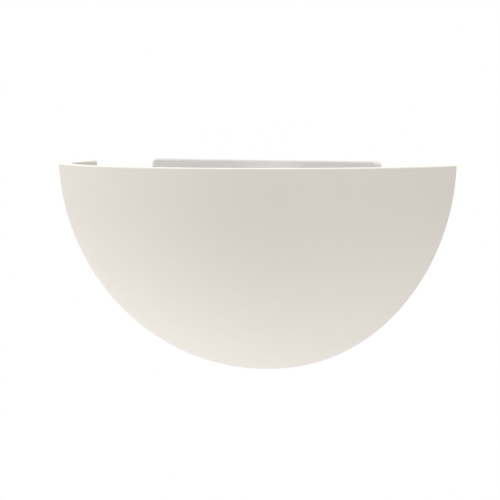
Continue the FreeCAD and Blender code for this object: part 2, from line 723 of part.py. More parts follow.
for side, sign, _, _ in SIDES:
    ear_holes = sketch_on(tray, "YZ_Plane")
    circle(ear_holes, "-sizes.lamp_reach", "sizes.lamp_lift", "sizes.ear_hole_radius")
    for across, up in holder_fixings(side):
        circle(ear_holes, across, up, "sizes.screw_radius + sizes.screw_gap")
    pocket(ear_holes, f"{EAR_OUTSIDE} + {CLEAR_CUT}", reverse=side == "right")
shelf_holes = sketch_on(tray, "XY_Plane", "sizes.tray_lift")
for sign in ("-", ""):
    circle(
        shelf_holes,
        f"{sign}sizes.reflector_screw_spacing / 2",
        "-sizes.lamp_reach",
        "sizes.screw_radius + sizes.screw_gap",
    )
for row_sign in ("-", "+"):
    slot(
        shelf_holes,
        "0",
        f"-sizes.lamp_reach {row_sign} sizes.bar_depth / 4",
        "sizes.vent_length",
        "sizes.vent_width",
    )
pocket(shelf_holes, "2 * sizes.tray_sheet", reverse=True)
rivet_holes = sketch_on(tray, "XZ_Plane", "sizes.plate_depth")
for sign in ("-", ""):
    circle(rivet_holes, f"{sign}sizes.rivet_spacing / 2", RIVET_LIFT, "sizes.rivet_radius + sizes.thread_gap")
pocket(rivet_holes, "2 * sizes.tray_sheet", reverse=True)
keep(tray, "lamp_tray")

RIVET_GRIP = "(sizes.tray_sheet + sizes.plate_sheet)"
rivets = [
    turned(
        f"rivet_{side}",
        [
            ("0", f"-{RIVET_GRIP} - sizes.rivet_tail"),
            ("sizes.rivet_tail_radius * 0.9", f"-{RIVET_GRIP} - sizes.rivet_tail"),
            ("sizes.rivet_tail_radius", f"-{RIVET_GRIP}"),
            ("sizes.rivet_radius", f"-{RIVET_GRIP}"),
            ("sizes.rivet_radius", "0"),
            ("sizes.rivet_head_radius", "0", "sizes.rivet_head_radius * 1.1"),
            ("sizes.rivet_radius", "sizes.rivet_head"),
            ("0", "sizes.rivet_head"),
        ],
        (f"{sign}sizes.rivet_spacing / 2", minus(FLANGE_FACE), RIVET_LIFT),
        TO_FRONT,
    )
    for side, sign, _, _ in SIDES
]
group("tray_rivets", rivets)

# ---- reflector -------------------------------------------------------------------------------------

reflector = new_body("reflector")
trough = sketch_on(reflector, "YZ_Plane")
TROUGH_SINE = "sin(sizes.trough_angle * 1deg)"
TROUGH_COSINE = "cos(sizes.trough_angle * 1deg)"
FLOOR = f"({SHELF_TOP} + sizes.reflector_sheet)"
CURVE_LIFT = f"({FLOOR} + sizes.trough_radius)"


def trough_side(side, radius):
    """The end of the curve and of the wing of one side, on the skin with this radius."""
    middle = f"-sizes.lamp_reach {side} sizes.trough_base / 2"
    across = f"{middle} {side} {radius} * {TROUGH_SINE}"
    up = f"{CURVE_LIFT} - {radius} * {TROUGH_COSINE}"
    wing_across = f"{across} {side} sizes.wing_length * {TROUGH_COSINE}"
    wing_up = f"{up} + sizes.wing_length * {TROUGH_SINE}"
    return middle, (across, up), (wing_across, wing_up)


INNER = "sizes.trough_radius"
OUTER = "(sizes.trough_radius + sizes.reflector_sheet)"
rear_middle, rear_curve, rear_wing = trough_side("+", INNER)
front_middle, front_curve, front_wing = trough_side("-", INNER)
_, rear_curve_under, rear_wing_under = trough_side("+", OUTER)
_, front_curve_under, front_wing_under = trough_side("-", OUTER)
outline(
    trough,
    [
        (front_middle, SHELF_TOP),
        (rear_middle, SHELF_TOP, OUTER),
        rear_curve_under,
        rear_wing_under,
        rear_wing,
        (*rear_curve, minus(INNER)),
        (rear_middle, FLOOR),
        (front_middle, FLOOR, minus(INNER)),
        front_curve,
        front_wing,
        front_wing_under,
        (*front_curve_under, OUTER),
    ],
)
pad(trough, "sizes.reflector_length", middle=True)
base_holes = sketch_on(reflector, "XY_Plane", SHELF_TOP)
for sign in ("-", ""):
    circle(
        base_holes,
        f"{sign}sizes.reflector_screw_spacing / 2",
        "-sizes.lamp_reach",
        "sizes.screw_radius + sizes.screw_gap",
    )
pocket(base_holes, "2 * sizes.reflector_sheet", reverse=True)
keep(reflector, "reflector")

reflector_screws = [
    small_screw(
        f"reflector_screw_{side}",
        (f"{sign}sizes.reflector_screw_spacing / 2", "-sizes.lamp_reach", FLOOR),
        UPRIGHT,
        "sizes.reflector_screw_length",
    )
    for side, sign, _, _ in SIDES
]
group("reflector_screws", reflector_screws)

# ---- lampholders and contacts ----------------------------------------------------------------------


def lampholder(side, sign, half_turn):
    """A holder in its own frame: the origin is on the lamp's axis at the collar's face, +X leads outwards."""
    body = new_body(f"lampholder_{side}")
    block = sketch_on(body, "YZ_Plane", "sizes.collar_length")
    half_depth, half_height = "sizes.holder_depth / 2", "sizes.holder_height / 2"
    rectangle(block, minus(half_depth), half_depth, minus(half_height), half_height)
    pad(block, "sizes.holder_thickness")
    round_edges(
        body,
        lambda spot: near(abs(spot.y), half_depth) and near(abs(spot.z), half_height),
        "sizes.holder_round",
    )
    collar = sketch_on(body, "YZ_Plane")
    circle(collar, "0", "0", "sizes.collar_radius")
    pad(collar, "sizes.collar_length")
    mouth = sketch_on(body, "YZ_Plane")
    circle(mouth, "0", "0", "sizes.mouth_radius")
    pocket(mouth, "sizes.collar_length", reverse=True)
    bore = sketch_on(body, "YZ_Plane", "sizes.collar_length")
    circle(bore, "0", "0", "sizes.pin_radius + sizes.pin_gap")
    pocket(bore, f"sizes.nose_wall + {CLEAR_CUT}", reverse=True)
    chamber = sketch_on(body, "YZ_Plane", HOLDER_LENGTH)
    circle(chamber, "0", "0", "sizes.chamber_radius")
    pocket(chamber, "sizes.holder_thickness - sizes.nose_wall")
    fixing = sketch_on(body, "YZ_Plane", HOLDER_LENGTH)
    for level in ("-", ""):
        circle(
            fixing,
            f"{level}sizes.holder_screw_skew",
            f"{level}sizes.holder_screw_offset",
            "sizes.screw_radius + sizes.screw_gap",
        )
    pocket(fixing, "sizes.holder_screw_length")
    tag_slot = sketch_on(body, "XY_Plane", minus(half_height))
    half_slot = "sizes.tag_width / 2 + sizes.tag_gap"
    rectangle(
        tag_slot,
        f"{TAG_PLACE} - sizes.tag_gap",
        f"{TAG_PLACE} + sizes.tag_thickness + sizes.tag_gap",
        minus(half_slot),
        half_slot,
    )
    pocket(tag_slot, f"{half_height} + sizes.chamber_radius", reverse=True)
    place(body, (f"{sign}{COLLAR_FACE}", "-sizes.lamp_reach", "sizes.lamp_lift"), half_turn)
    keep(body, f"lampholder_{side}")


def contact_pin(side, sign, outward):
    """The sprung pin, from its round tip outwards."""
    shoulder = f"({COLLAR_FACE} + {SHOULDER_FACE} - {PIN_TIP})"
    tail = f"({shoulder} + sizes.pin_shoulder)"
    pin = turned(
        f"contact_pin_{side}",
        [
            ("0", "0"),
            ("sizes.pin_radius * 0.4", "0", "sizes.pin_radius * 0.6"),
            ("sizes.pin_radius", "sizes.pin_radius * 0.6"),
            ("sizes.pin_radius", shoulder),
            ("sizes.pin_shoulder_radius", shoulder),
            ("sizes.pin_shoulder_radius", tail),
            ("sizes.pin_tail_radius", tail),
            ("sizes.pin_tail_radius", f"{tail} + sizes.pin_tail"),
            ("0", f"{tail} + sizes.pin_tail"),
        ],
        (f"{sign}{PIN_TIP}", "-sizes.lamp_reach", "sizes.lamp_lift"),
        outward,
    )
    keep(pin, f"contact_pin_{side}")


def contact_terminal(side, sign, half_turn):
    """The tag that the spring bears on. It leaves the holder below and ends in a crimp barrel."""
    body = new_body(f"contact_terminal_{side}")
    strip = sketch_on(body, "YZ_Plane", TAG_PLACE)
    half = "sizes.tag_width / 2"
    rectangle(strip, minus(half), half, minus(BARREL_DROP), "sizes.chamber_radius - 2 * sizes.tag_gap")
    pad(strip, "sizes.tag_thickness")
    barrel = sketch_on(body, "XZ_Plane")
    circle(barrel, TAG_MIDDLE, minus(BARREL_DROP), "sizes.barrel_radius")
    pad(barrel, "sizes.barrel_length", middle=True)
    barrel_bore = sketch_on(body, "XZ_Plane")
    circle(barrel_bore, TAG_MIDDLE, minus(BARREL_DROP), "sizes.wire_radius + sizes.crimp_gap")
    pocket(barrel_bore)
    place(body, (f"{sign}{COLLAR_FACE}", "-sizes.lamp_reach", "sizes.lamp_lift"), half_turn)
    keep(body, f"contact_terminal_{side}")


def contact_spring(side, sign, outward):
    """A helical spring between the pin's shoulder and the tag, wound from the sheet's sizes."""
    wire_radius = number("sizes.spring_wire_radius")
    radius = number("sizes.spring_radius")
    space = number("sizes.spring_space") - 2 * wire_radius - 2 * number("sizes.touch_gap")
    pitch = space / number("sizes.spring_turns")
    print(f"contact_spring_{side}: {pitch - 2 * wire_radius:.2f} between its turns")
    helix = Part.makeHelix(pitch, space, radius)
    profile = Part.Wire(Part.makeCircle(wire_radius, FreeCAD.Vector(radius, 0, 0), Y_AXIS))
    spring = document.addObject("Part::Feature", f"contact_spring_{side}")
    spring.Shape = Part.Wire(helix).makePipeShell([profile], True, True)
    start = f"{COLLAR_FACE} + {SPRING_START} + sizes.spring_wire_radius + sizes.touch_gap"
    place(spring, (f"{sign}({start})", "-sizes.lamp_reach", "sizes.lamp_lift"), outward)
    keep(spring, f"contact_spring_{side}")


holder_screws = []
for side, sign, outward, half_turn in SIDES:
    lampholder(side, sign, half_turn)
    contact_pin(side, sign, outward)
    contact_spring(side, sign, outward)
    contact_terminal(side, sign, half_turn)
    for across, up in holder_fixings(side):
        spot = (f"{sign}{EAR_OUTSIDE}", across, up)
        holder_screws.append(small_screw(f"holder_screw_{side}", spot, outward, "sizes.holder_screw_length"))
group("lampholder_screws", holder_screws)

# ---- lamp ------------------------------------------------------------------------------------------

LAMP_AXIS = ("0", "-sizes.lamp_reach", "sizes.lamp_lift")
NECK_RADIUS = "(sizes.pinch_thickness / 2)"
SHOULDER_ROUND = "(sizes.shoulder_length * 1.15)"
BORE_RADIUS = "(sizes.tube_radius - sizes.tube_wall)"
HOLLOW_END = f"({SHOULDER_END} - sizes.tube_wall)"

tube = new_body("lamp_tube")
glass = sketch_on(tube, "XZ_Plane")
outline(
    glass,
    [
        (CAP_INNER, "0"),
        (CAP_INNER, NECK_RADIUS),
        (SHOULDER_END, NECK_RADIUS),
        (SHOULDER_END, f"{NECK_RADIUS} + sizes.shoulder_step", SHOULDER_ROUND),
        (TUBE_HALF, "sizes.tube_radius"),
        (minus(TUBE_HALF), "sizes.tube_radius", SHOULDER_ROUND),
        (minus(SHOULDER_END), f"{NECK_RADIUS} + sizes.shoulder_step"),
        (minus(SHOULDER_END), NECK_RADIUS),
        (minus(CAP_INNER), NECK_RADIUS),
        (minus(CAP_INNER), "0"),
        (minus(HOLLOW_END), "0", "-(sizes.tube_radius)"),
        (minus(TUBE_HALF), BORE_RADIUS),
        (TUBE_HALF, BORE_RADIUS, "-(sizes.tube_radius)"),
        (HOLLOW_END, "0"),
    ],
)
revolve(glass, axis="H_Axis")
pinches = sketch_on(tube, "XY_Plane")
half_pinch = "sizes.pinch_width / 2"
PINCH_END = f"({CAP_INNER} + sizes.pinch_depth)"
rectangle(pinches, SHOULDER_END, PINCH_END, minus(half_pinch), half_pinch)
rectangle(pinches, minus(PINCH_END), minus(SHOULDER_END), minus(half_pinch), half_pinch)
pad(pinches, "sizes.pinch_thickness", middle=True)
lead_bores = sketch_on(tube, "YZ_Plane")
circle(lead_bores, "0", "0", "sizes.lead_radius + sizes.thread_gap")
pocket(lead_bores)
place(tube, LAMP_AXIS)
keep(tube, "lamp_tube")

for side, sign, outward, _ in SIDES:
    cap = turned(
        f"lamp_cap_{side}",
        [
            ("0", "0"),
            ("sizes.cap_radius", "0"),
            ("sizes.cap_radius", "sizes.cap_length - sizes.cap_bevel"),
            ("sizes.cap_radius - sizes.cap_bevel", "sizes.cap_length"),
            ("sizes.recess_radius", "sizes.cap_length"),
            ("sizes.recess_radius", "sizes.cap_length - sizes.contact_recess"),
            ("0", "sizes.cap_length - sizes.contact_recess"),
        ],
        (f"{sign}{CAP_INNER}", "-sizes.lamp_reach", "sizes.lamp_lift"),
        outward,
    )
    seat = sketch_on(cap, "XY_Plane")
    half_seat_x, half_seat_y = (
        "sizes.pinch_thickness / 2 + sizes.screw_gap",
        "sizes.pinch_width / 2 + sizes.screw_gap",
    )
    rectangle(seat, minus(half_seat_x), half_seat_x, minus(half_seat_y), half_seat_y)
    pocket(seat, "sizes.pinch_depth + sizes.screw_gap", reverse=True)
    keep(cap, f"lamp_cap_{side}")

filament = new_body("lamp_filament")
coil = sketch_on(filament, "XZ_Plane")
COIL_HALF = "sizes.coil_length / 2"
outline(
    coil,
    [
        (minus(PINCH_END), "0"),
        (PINCH_END, "0"),
        (PINCH_END, "sizes.lead_radius"),
        (COIL_HALF, "sizes.lead_radius"),
        (COIL_HALF, "sizes.coil_radius"),
        (minus(COIL_HALF), "sizes.coil_radius"),
        (minus(COIL_HALF), "sizes.lead_radius"),
        (minus(PINCH_END), "sizes.lead_radius"),
    ],
)
revolve(coil, axis="H_Axis")
place(filament, LAMP_AXIS)
keep(filament, "lamp_filament")

# ---- terminal block --------------------------------------------------------------------------------

POLES = [
    "(sizes.block_offset - sizes.pole_pitch)",
    "sizes.block_offset",
    "(sizes.block_offset + sizes.pole_pitch)",
]
BLOCK_BOTTOM = "(sizes.inlet_lift - sizes.block_height / 2)"
block = new_body("terminal_block")
block_face = sketch_on(block, "XZ_Plane", "sizes.plate_depth")
rectangle(
    block_face,
    "sizes.block_offset - sizes.block_length / 2",
    "sizes.block_offset + sizes.block_length / 2",
    BLOCK_BOTTOM,
    f"{BLOCK_BOTTOM} + sizes.block_height",
)
pad(block_face, "sizes.block_depth")
cores = sketch_on(block, "XY_Plane", BLOCK_BOTTOM)
for pole in POLES:
    circle(cores, pole, minus(BLOCK_MIDDLE), "sizes.insert_radius + sizes.insert_gap")
pocket(cores, "sizes.block_height", reverse=True)
screw_wells = sketch_on(block, "XZ_Plane", BLOCK_FACE)
for pole in POLES:
    for level in ("-", "+"):
        circle(
            screw_wells,
            pole,
            f"sizes.inlet_lift {level} sizes.pole_screw_offset",
            "sizes.pole_head_radius + 2 * sizes.insert_gap",
        )
pocket(screw_wells, "sizes.block_depth / 2")
sinks = sketch_on(block, "XZ_Plane", BLOCK_FACE)
block_fixings = [f"sizes.block_offset {side} sizes.pole_pitch / 2" for side in ("-", "+")]
for fixing in block_fixings:
    circle(sinks, fixing, "sizes.inlet_lift", "sizes.screw_head_radius + 2 * sizes.insert_gap")
pocket(sinks, "sizes.block_sink")
fixing_holes = sketch_on(block, "XZ_Plane")
for fixing in block_fixings:
    circle(fixing_holes, fixing, "sizes.inlet_lift", "sizes.screw_radius + sizes.screw_gap")
pocket(fixing_holes)
keep(block, "terminal_block")

INSERT_TOP = f"({BLOCK_MIDDLE} + sizes.insert_radius)"
inserts = []
terminal_screws = []
for pole in POLES:
    insert = turned(
        "terminal_insert",
        [
            ("sizes.insert_bore_radius", "-sizes.insert_length / 2"),
            ("sizes.insert_radius", "-sizes.insert_length / 2"),
            ("sizes.insert_radius", "sizes.insert_length / 2"),
            ("sizes.supply_bore_radius", "sizes.insert_length / 2"),
            ("sizes.supply_bore_radius", "sizes.insert_length / 2 - sizes.supply_bore_length"),
            ("sizes.insert_bore_radius", "sizes.insert_length / 2 - sizes.supply_bore_length"),
        ],
        (pole, minus(BLOCK_MIDDLE), "sizes.inlet_lift"),
        UPRIGHT,
    )
    threads = sketch_on(insert, "XZ_Plane")
    for level in ("-", ""):
        circle(threads, "0", f"{level}sizes.pole_screw_offset", "sizes.pole_screw_radius + sizes.thread_gap")
    pocket(threads, f"sizes.insert_radius + {CLEAR_CUT}", reverse=True)
    inserts.append(insert)
    for level, bore in (("-", "sizes.insert_bore_radius"), ("+", "sizes.supply_bore_radius")):
        terminal_screws.append(
            screw(
                "terminal_screw",
                (
                    pole,
                    f"-({INSERT_TOP} + sizes.insert_gap)",
                    f"sizes.inlet_lift {level} sizes.pole_screw_offset",
                ),
                TO_FRONT,
                "sizes.pole_screw_radius",
                "sizes.pole_head_radius",
                "sizes.pole_head",
                f"(sizes.insert_radius - {bore} + sizes.insert_gap)",
            )
        )
group("terminal_inserts", inserts)
group("terminal_screws", terminal_screws)

block_screws = [
    small_screw(
        "block_screw",
        (fixing, f"-({BLOCK_FACE} - sizes.block_sink)", "sizes.inlet_lift"),
        TO_FRONT,
        "(sizes.block_depth - sizes.block_sink + sizes.plate_screw_length)",
    )
    for fixing in block_fixings
]
group("block_screws", block_screws)

# ---- cable inlet and earth -------------------------------------------------------------------------

LIP = "sizes.grommet_flange"
LIP_BACK = "-sizes.plate_sheet - sizes.grommet_flange"
LIP_ROUND = "sizes.grommet_flange * 0.6"
grommet = turned(
    "cable_grommet",
    [
        ("sizes.grommet_bore_radius", LIP_BACK),
        ("sizes.grommet_flange_radius", LIP_BACK),
        ("sizes.grommet_flange_radius", "-sizes.plate_sheet"),
        ("sizes.grommet_neck_radius", "-sizes.plate_sheet"),
        ("sizes.grommet_neck_radius", "0"),
        ("sizes.grommet_flange_radius", "0"),
        ("sizes.grommet_flange_radius", f"{LIP} - {LIP_ROUND}", LIP),
        (f"sizes.grommet_flange_radius - {LIP_ROUND}", LIP),
        (f"sizes.grommet_bore_radius + {LIP_ROUND}", LIP, LIP),
        ("sizes.grommet_bore_radius", f"{LIP} - {LIP_ROUND}"),
    ],
    ("-sizes.inlet_offset", "-sizes.plate_depth", "sizes.inlet_lift"),
    TO_FRONT,
)
keep(grommet, "cable_grommet")

clamp = new_body("cable_clamp")
saddle = sketch_on(clamp, "YZ_Plane", "-sizes.clamp_offset - sizes.clamp_width / 2")
FOOT = "-sizes.plate_depth"
FOOT_TOP = f"({FOOT} - sizes.clamp_sheet)"
ARCH = f"({FOOT} - sizes.clamp_bore_radius)"
ARCH_OUTER = "(sizes.clamp_bore_radius + sizes.clamp_sheet)"
outline(
    saddle,
    [
        (FOOT, f"sizes.inlet_lift - {CLAMP_HALF}"),
        (FOOT, "sizes.inlet_lift - sizes.clamp_bore_radius"),
        (ARCH, "sizes.inlet_lift - sizes.clamp_bore_radius", "-sizes.clamp_bore_radius"),
        (ARCH, "sizes.inlet_lift + sizes.clamp_bore_radius"),
        (FOOT, "sizes.inlet_lift + sizes.clamp_bore_radius"),
        (FOOT, f"sizes.inlet_lift + {CLAMP_HALF}"),
        (FOOT_TOP, f"sizes.inlet_lift + {CLAMP_HALF}"),
        (FOOT_TOP, f"sizes.inlet_lift + {ARCH_OUTER}"),
        (ARCH, f"sizes.inlet_lift + {ARCH_OUTER}", ARCH_OUTER),
        (ARCH, f"sizes.inlet_lift - {ARCH_OUTER}"),
        (FOOT_TOP, f"sizes.inlet_lift - {ARCH_OUTER}"),
        (FOOT_TOP, f"sizes.inlet_lift - {CLAMP_HALF}"),
    ],
)
pad(saddle, "sizes.clamp_width")
clamp_holes = sketch_on(clamp, "XZ_Plane")
for level in ("-", "+"):
    circle(
        clamp_holes,
        "-sizes.clamp_offset",
        f"sizes.inlet_lift {level} {CLAMP_SCREW}",
        "sizes.screw_radius + sizes.screw_gap",
    )
pocket(clamp_holes)
keep(clamp, "cable_clamp")

clamp_screws = [
    small_screw(
        "clamp_screw",
        (
            "-sizes.clamp_offset",
            "-(sizes.plate_depth + sizes.clamp_sheet)",
            f"sizes.inlet_lift {level} {CLAMP_SCREW}",
        ),
        TO_FRONT,
        "(sizes.clamp_sheet + sizes.plate_screw_length)",
    )
    for level in ("-", "+")
]
group("clamp_screws", clamp_screws)

earth_tag = new_body("earth_tag")
ring = sketch_on(earth_tag, "XZ_Plane", "sizes.plate_depth")
circle(ring, "sizes.earth_offset", "sizes.inlet_lift", "sizes.earth_tag_radius")
pad(ring, "sizes.earth_tag_sheet")
neck = sketch_on(earth_tag, "XZ_Plane", "sizes.plate_depth")
rectangle(
    neck,
    "sizes.earth_offset - sizes.barrel_radius",
    "sizes.earth_offset + sizes.barrel_radius",
    "sizes.inlet_lift - sizes.earth_neck - sizes.barrel_length / 2",
    "sizes.inlet_lift",
)
pad(neck, "sizes.earth_tag_sheet")
EARTH_BARREL = "(sizes.plate_depth + sizes.barrel_radius)"
BARREL_BOTTOM = "(sizes.inlet_lift - sizes.earth_neck - sizes.barrel_length)"
earth_barrel = sketch_on(earth_tag, "XY_Plane", BARREL_BOTTOM)
circle(earth_barrel, "sizes.earth_offset", minus(EARTH_BARREL), "sizes.barrel_radius")
pad(earth_barrel, "sizes.barrel_length")
crimp = sketch_on(earth_tag, "XY_Plane", BARREL_BOTTOM)
circle(crimp, "sizes.earth_offset", minus(EARTH_BARREL), "sizes.wire_radius + sizes.crimp_gap")
pocket(crimp, "sizes.barrel_length", reverse=True)
ring_hole = sketch_on(earth_tag, "XZ_Plane", "sizes.plate_depth")
circle(ring_hole, "sizes.earth_offset", "sizes.inlet_lift", "sizes.earth_screw_radius + sizes.screw_gap")
pocket(ring_hole, "2 * sizes.earth_tag_sheet", reverse=True)
keep(earth_tag, "earth_tag")

earth_screw = screw(
    "earth_screw",
    ("sizes.earth_offset", "-(sizes.plate_depth + sizes.earth_tag_sheet)", "sizes.inlet_lift"),
    TO_FRONT,
    "sizes.earth_screw_radius",
    "sizes.earth_head_radius",
    "sizes.earth_head",
    "(sizes.earth_tag_sheet + sizes.plate_screw_length)",
)
keep(earth_screw, "earth_screw")

# ---- the light's own wires -------------------------------------------------------------------------


def rounded_path(points):
    """Straight runs joined by tangent arcs, each as large as the two runs beside it allow."""
    edges = []
    start = points[0]
    for before, corner, after in zip(points, points[1:], points[2:]):
        into, out = corner - before, after - corner
        turn = into.getAngle(out)
        setback = 0.45 * min(into.Length, out.Length)
        radius = setback / math.tan(turn / 2)
        into.normalize()
        out.normalize()
        first, last = corner - into * setback, corner + out * setback
        towards_middle = (out - into).normalize()
        middle = corner + towards_middle * (radius / math.cos(turn / 2) - radius)
        edges.append(Part.LineSegment(start, first).toShape())
        edges.append(Part.Arc(first, middle, last).toShape())
        print(f"wire bend radius {radius:.1f}")
        start = last
    edges.append(Part.LineSegment(start, points[-1]).toShape())
    return Part.Wire(edges)


def wire(label, points):
    """A sleeved wire along a route of points, each three expressions."""
    path = rounded_path([FreeCAD.Vector(*map(number, point)) for point in points])
    radius = number("sizes.wire_radius")
    first = path.Edges[0]
    direction = first.tangentAt(first.FirstParameter)
    profile = Part.Wire(Part.makeCircle(radius, first.Vertexes[0].Point, direction))
    tube_shape = path.makePipeShell([profile], True, False)
    share = tube_shape.Volume / (math.pi * radius * radius * path.Length)
    print(f"{label}: length {path.Length:.1f}, volume {share:.4f} of its section times its length")
    feature = document.addObject("Part::Feature", label)
    feature.Shape = tube_shape
    keep(feature, label)


def lamp_wire(label, pole, sign, knee_reach):
    """From a terminal down, out along the tray and to the barrel of the contact on one side."""
    barrel = f"{sign}({COLLAR_FACE} + {TAG_MIDDLE})"
    barrel_lift = f"sizes.lamp_lift - {BARREL_DROP}"
    wire(
        label,
        [
            (pole, minus(BLOCK_MIDDLE), "sizes.inlet_lift - sizes.pole_screw_offset"),
            (pole, minus(BLOCK_MIDDLE), "sizes.turn_lift"),
            (f"{sign}sizes.knee_offset", minus(knee_reach), "sizes.knee_lift"),
            (f"{sign}sizes.corner_offset", "-sizes.corner_reach", "sizes.corner_lift"),
            (barrel, "-sizes.last_turn_reach", barrel_lift),
            (barrel, "-(sizes.lamp_reach + sizes.barrel_length / 2)", barrel_lift),
        ],
    )


lamp_wire("live_wire", POLES[0], "-", "sizes.live_knee_reach")
lamp_wire("neutral_wire", POLES[1], "", "sizes.neutral_knee_reach")
wire(
    "earth_wire",
    [
        (POLES[2], minus(BLOCK_MIDDLE), "sizes.inlet_lift - sizes.pole_screw_offset"),
        (POLES[2], minus(BLOCK_MIDDLE), "sizes.turn_lift"),
        ("sizes.earth_knee_offset", "-sizes.earth_knee_reach", "sizes.earth_knee_lift"),
        ("sizes.earth_offset", minus(EARTH_BARREL), "sizes.earth_rise_lift"),
        ("sizes.earth_offset", minus(EARTH_BARREL), f"{BARREL_BOTTOM} + sizes.barrel_length"),
    ],
)

# ---- check and write -------------------------------------------------------------------------------

document.recompute()
for item in document.Objects:
    if "Invalid" in item.State or "Error" in item.State:
        raise ValueError(f"{item.Label} failed: {item.State}")
for piece in pieces:
    if piece.Shape.isNull() or not piece.Shape.isValid():
        raise ValueError(f"{piece.Label} has no valid shape")

os.makedirs("parts", exist_ok=True)
for piece in pieces:
    piece.Shape.exportStep(f"parts/{piece.Label}.step")
    print(f"{piece.Label}: {len(piece.Shape.Solids)} solid(s), {piece.Shape.Volume:.1f} mm3")
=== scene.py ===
"""An uplighter wall sconce of cast plaster: its finishes, wound and threaded pieces, and a white studio."""

import logging
import math
from dataclasses import dataclass
from enum import Enum

import bmesh
import bpy
from mathutils import Matrix, Vector


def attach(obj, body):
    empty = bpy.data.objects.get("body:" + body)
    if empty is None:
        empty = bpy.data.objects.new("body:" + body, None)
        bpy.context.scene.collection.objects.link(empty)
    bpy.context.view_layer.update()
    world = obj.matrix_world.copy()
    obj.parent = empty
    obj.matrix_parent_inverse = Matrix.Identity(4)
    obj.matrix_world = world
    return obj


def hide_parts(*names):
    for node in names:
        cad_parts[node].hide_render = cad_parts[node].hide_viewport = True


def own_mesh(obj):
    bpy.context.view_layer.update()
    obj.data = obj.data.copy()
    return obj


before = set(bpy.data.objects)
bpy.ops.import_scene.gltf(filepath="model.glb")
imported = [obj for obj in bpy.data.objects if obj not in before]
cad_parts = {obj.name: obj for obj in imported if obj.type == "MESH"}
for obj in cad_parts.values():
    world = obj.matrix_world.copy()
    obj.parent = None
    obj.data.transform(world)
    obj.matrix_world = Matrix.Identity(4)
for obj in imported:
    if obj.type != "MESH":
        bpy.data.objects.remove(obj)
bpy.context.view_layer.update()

MM = 0.001
QUARTER_TURN = math.radians(90)
LAY_ALONG_X = (0.0, QUARTER_TURN, 0.0)
NOISE_LOW, NOISE_HIGH = 0.3, 0.7

Triple = tuple[float, float, float]
Colour = Triple
Node = bpy.types.Node
Socket = bpy.types.NodeSocket
Value = float | int | tuple | Socket | bpy.types.ID
Inputs = dict[str | int, Value]
Labels = tuple[tuple[str, str], ...]

log = logging.getLogger("uplighter")


class Slot(Enum):
    """The record's material slots."""

    PLASTER = "plaster"
    ENAMEL = "white_enamel"
    ZINC = "zinc"
    FIBRE = "fibre"
    NICKEL = "nickel_brass"
    RIVET = "aluminium"
    MIRROR_SHEET = "bright_aluminium"
    STEATITE = "steatite"
    CONTACT = "nickel_contact"
    SPRING = "spring_steel"
    BRASS = "brass"
    QUARTZ = "quartz"
    LAMP_END = "lamp_ceramic"
    TUNGSTEN = "tungsten"
    PORCELAIN = "block_ceramic"
    RUBBER = "grommet_rubber"
    NYLON = "clamp_nylon"
    TINNED = "tinned_copper"
    SLEEVE_BROWN = "sleeve_brown"
    SLEEVE_BLUE = "sleeve_blue"
    SLEEVE_GREEN = "sleeve_green"


# ---- node wiring -----------------------------------------------------------------------------------


class Wiring:
    """Adds and joins the nodes of one tree."""

    def __init__(self, tree: bpy.types.NodeTree) -> None:
        """Start from an empty tree.

        Args:
            tree: the tree to fill.
        """
        self.tree = tree
        tree.nodes.clear()

    def add(self, kind: str, inputs: Inputs | None = None, **settings: object) -> Node:
        """Add a node.

        Args:
            kind: the node's type.
            inputs: values or sockets for its inputs, by name or place.
            settings: its properties.

        Returns:
            The new node.
        """
        node = self.tree.nodes.new(kind)
        for name, value in settings.items():
            setattr(node, name, value)
        for key, value in (inputs or {}).items():
            self.feed(node, key, value)
        return node

    def feed(self, node: Node, key: str | int, value: Value) -> None:
        """Link a socket to an input, or set a plain value on it.

        Args:
            node: the node that receives.
            key: the input's name or place.
            value: the socket or value.
        """
        if isinstance(value, Socket):
            self.tree.links.new(value, node.inputs[key])
        else:
            node.inputs[key].default_value = value

    def math(self, operation: str, *values: Value) -> Socket:
        """Work out a number.

        Args:
            operation: the name of the operation.
            values: one to three numbers or sockets.

        Returns:
            The result's socket.
        """
        return self.add("ShaderNodeMath", dict(enumerate(values)), operation=operation).outputs[0]

    def vector(self, operation: str, *values: Value, output: str = "Vector") -> Socket:
        """Work out a vector.

        Args:
            operation: the name of the operation.
            values: the vectors.
            output: the output to read.

        Returns:
            The result's socket.
        """
        node = self.add("ShaderNodeVectorMath", dict(enumerate(values)), operation=operation)
        return node.outputs[output]


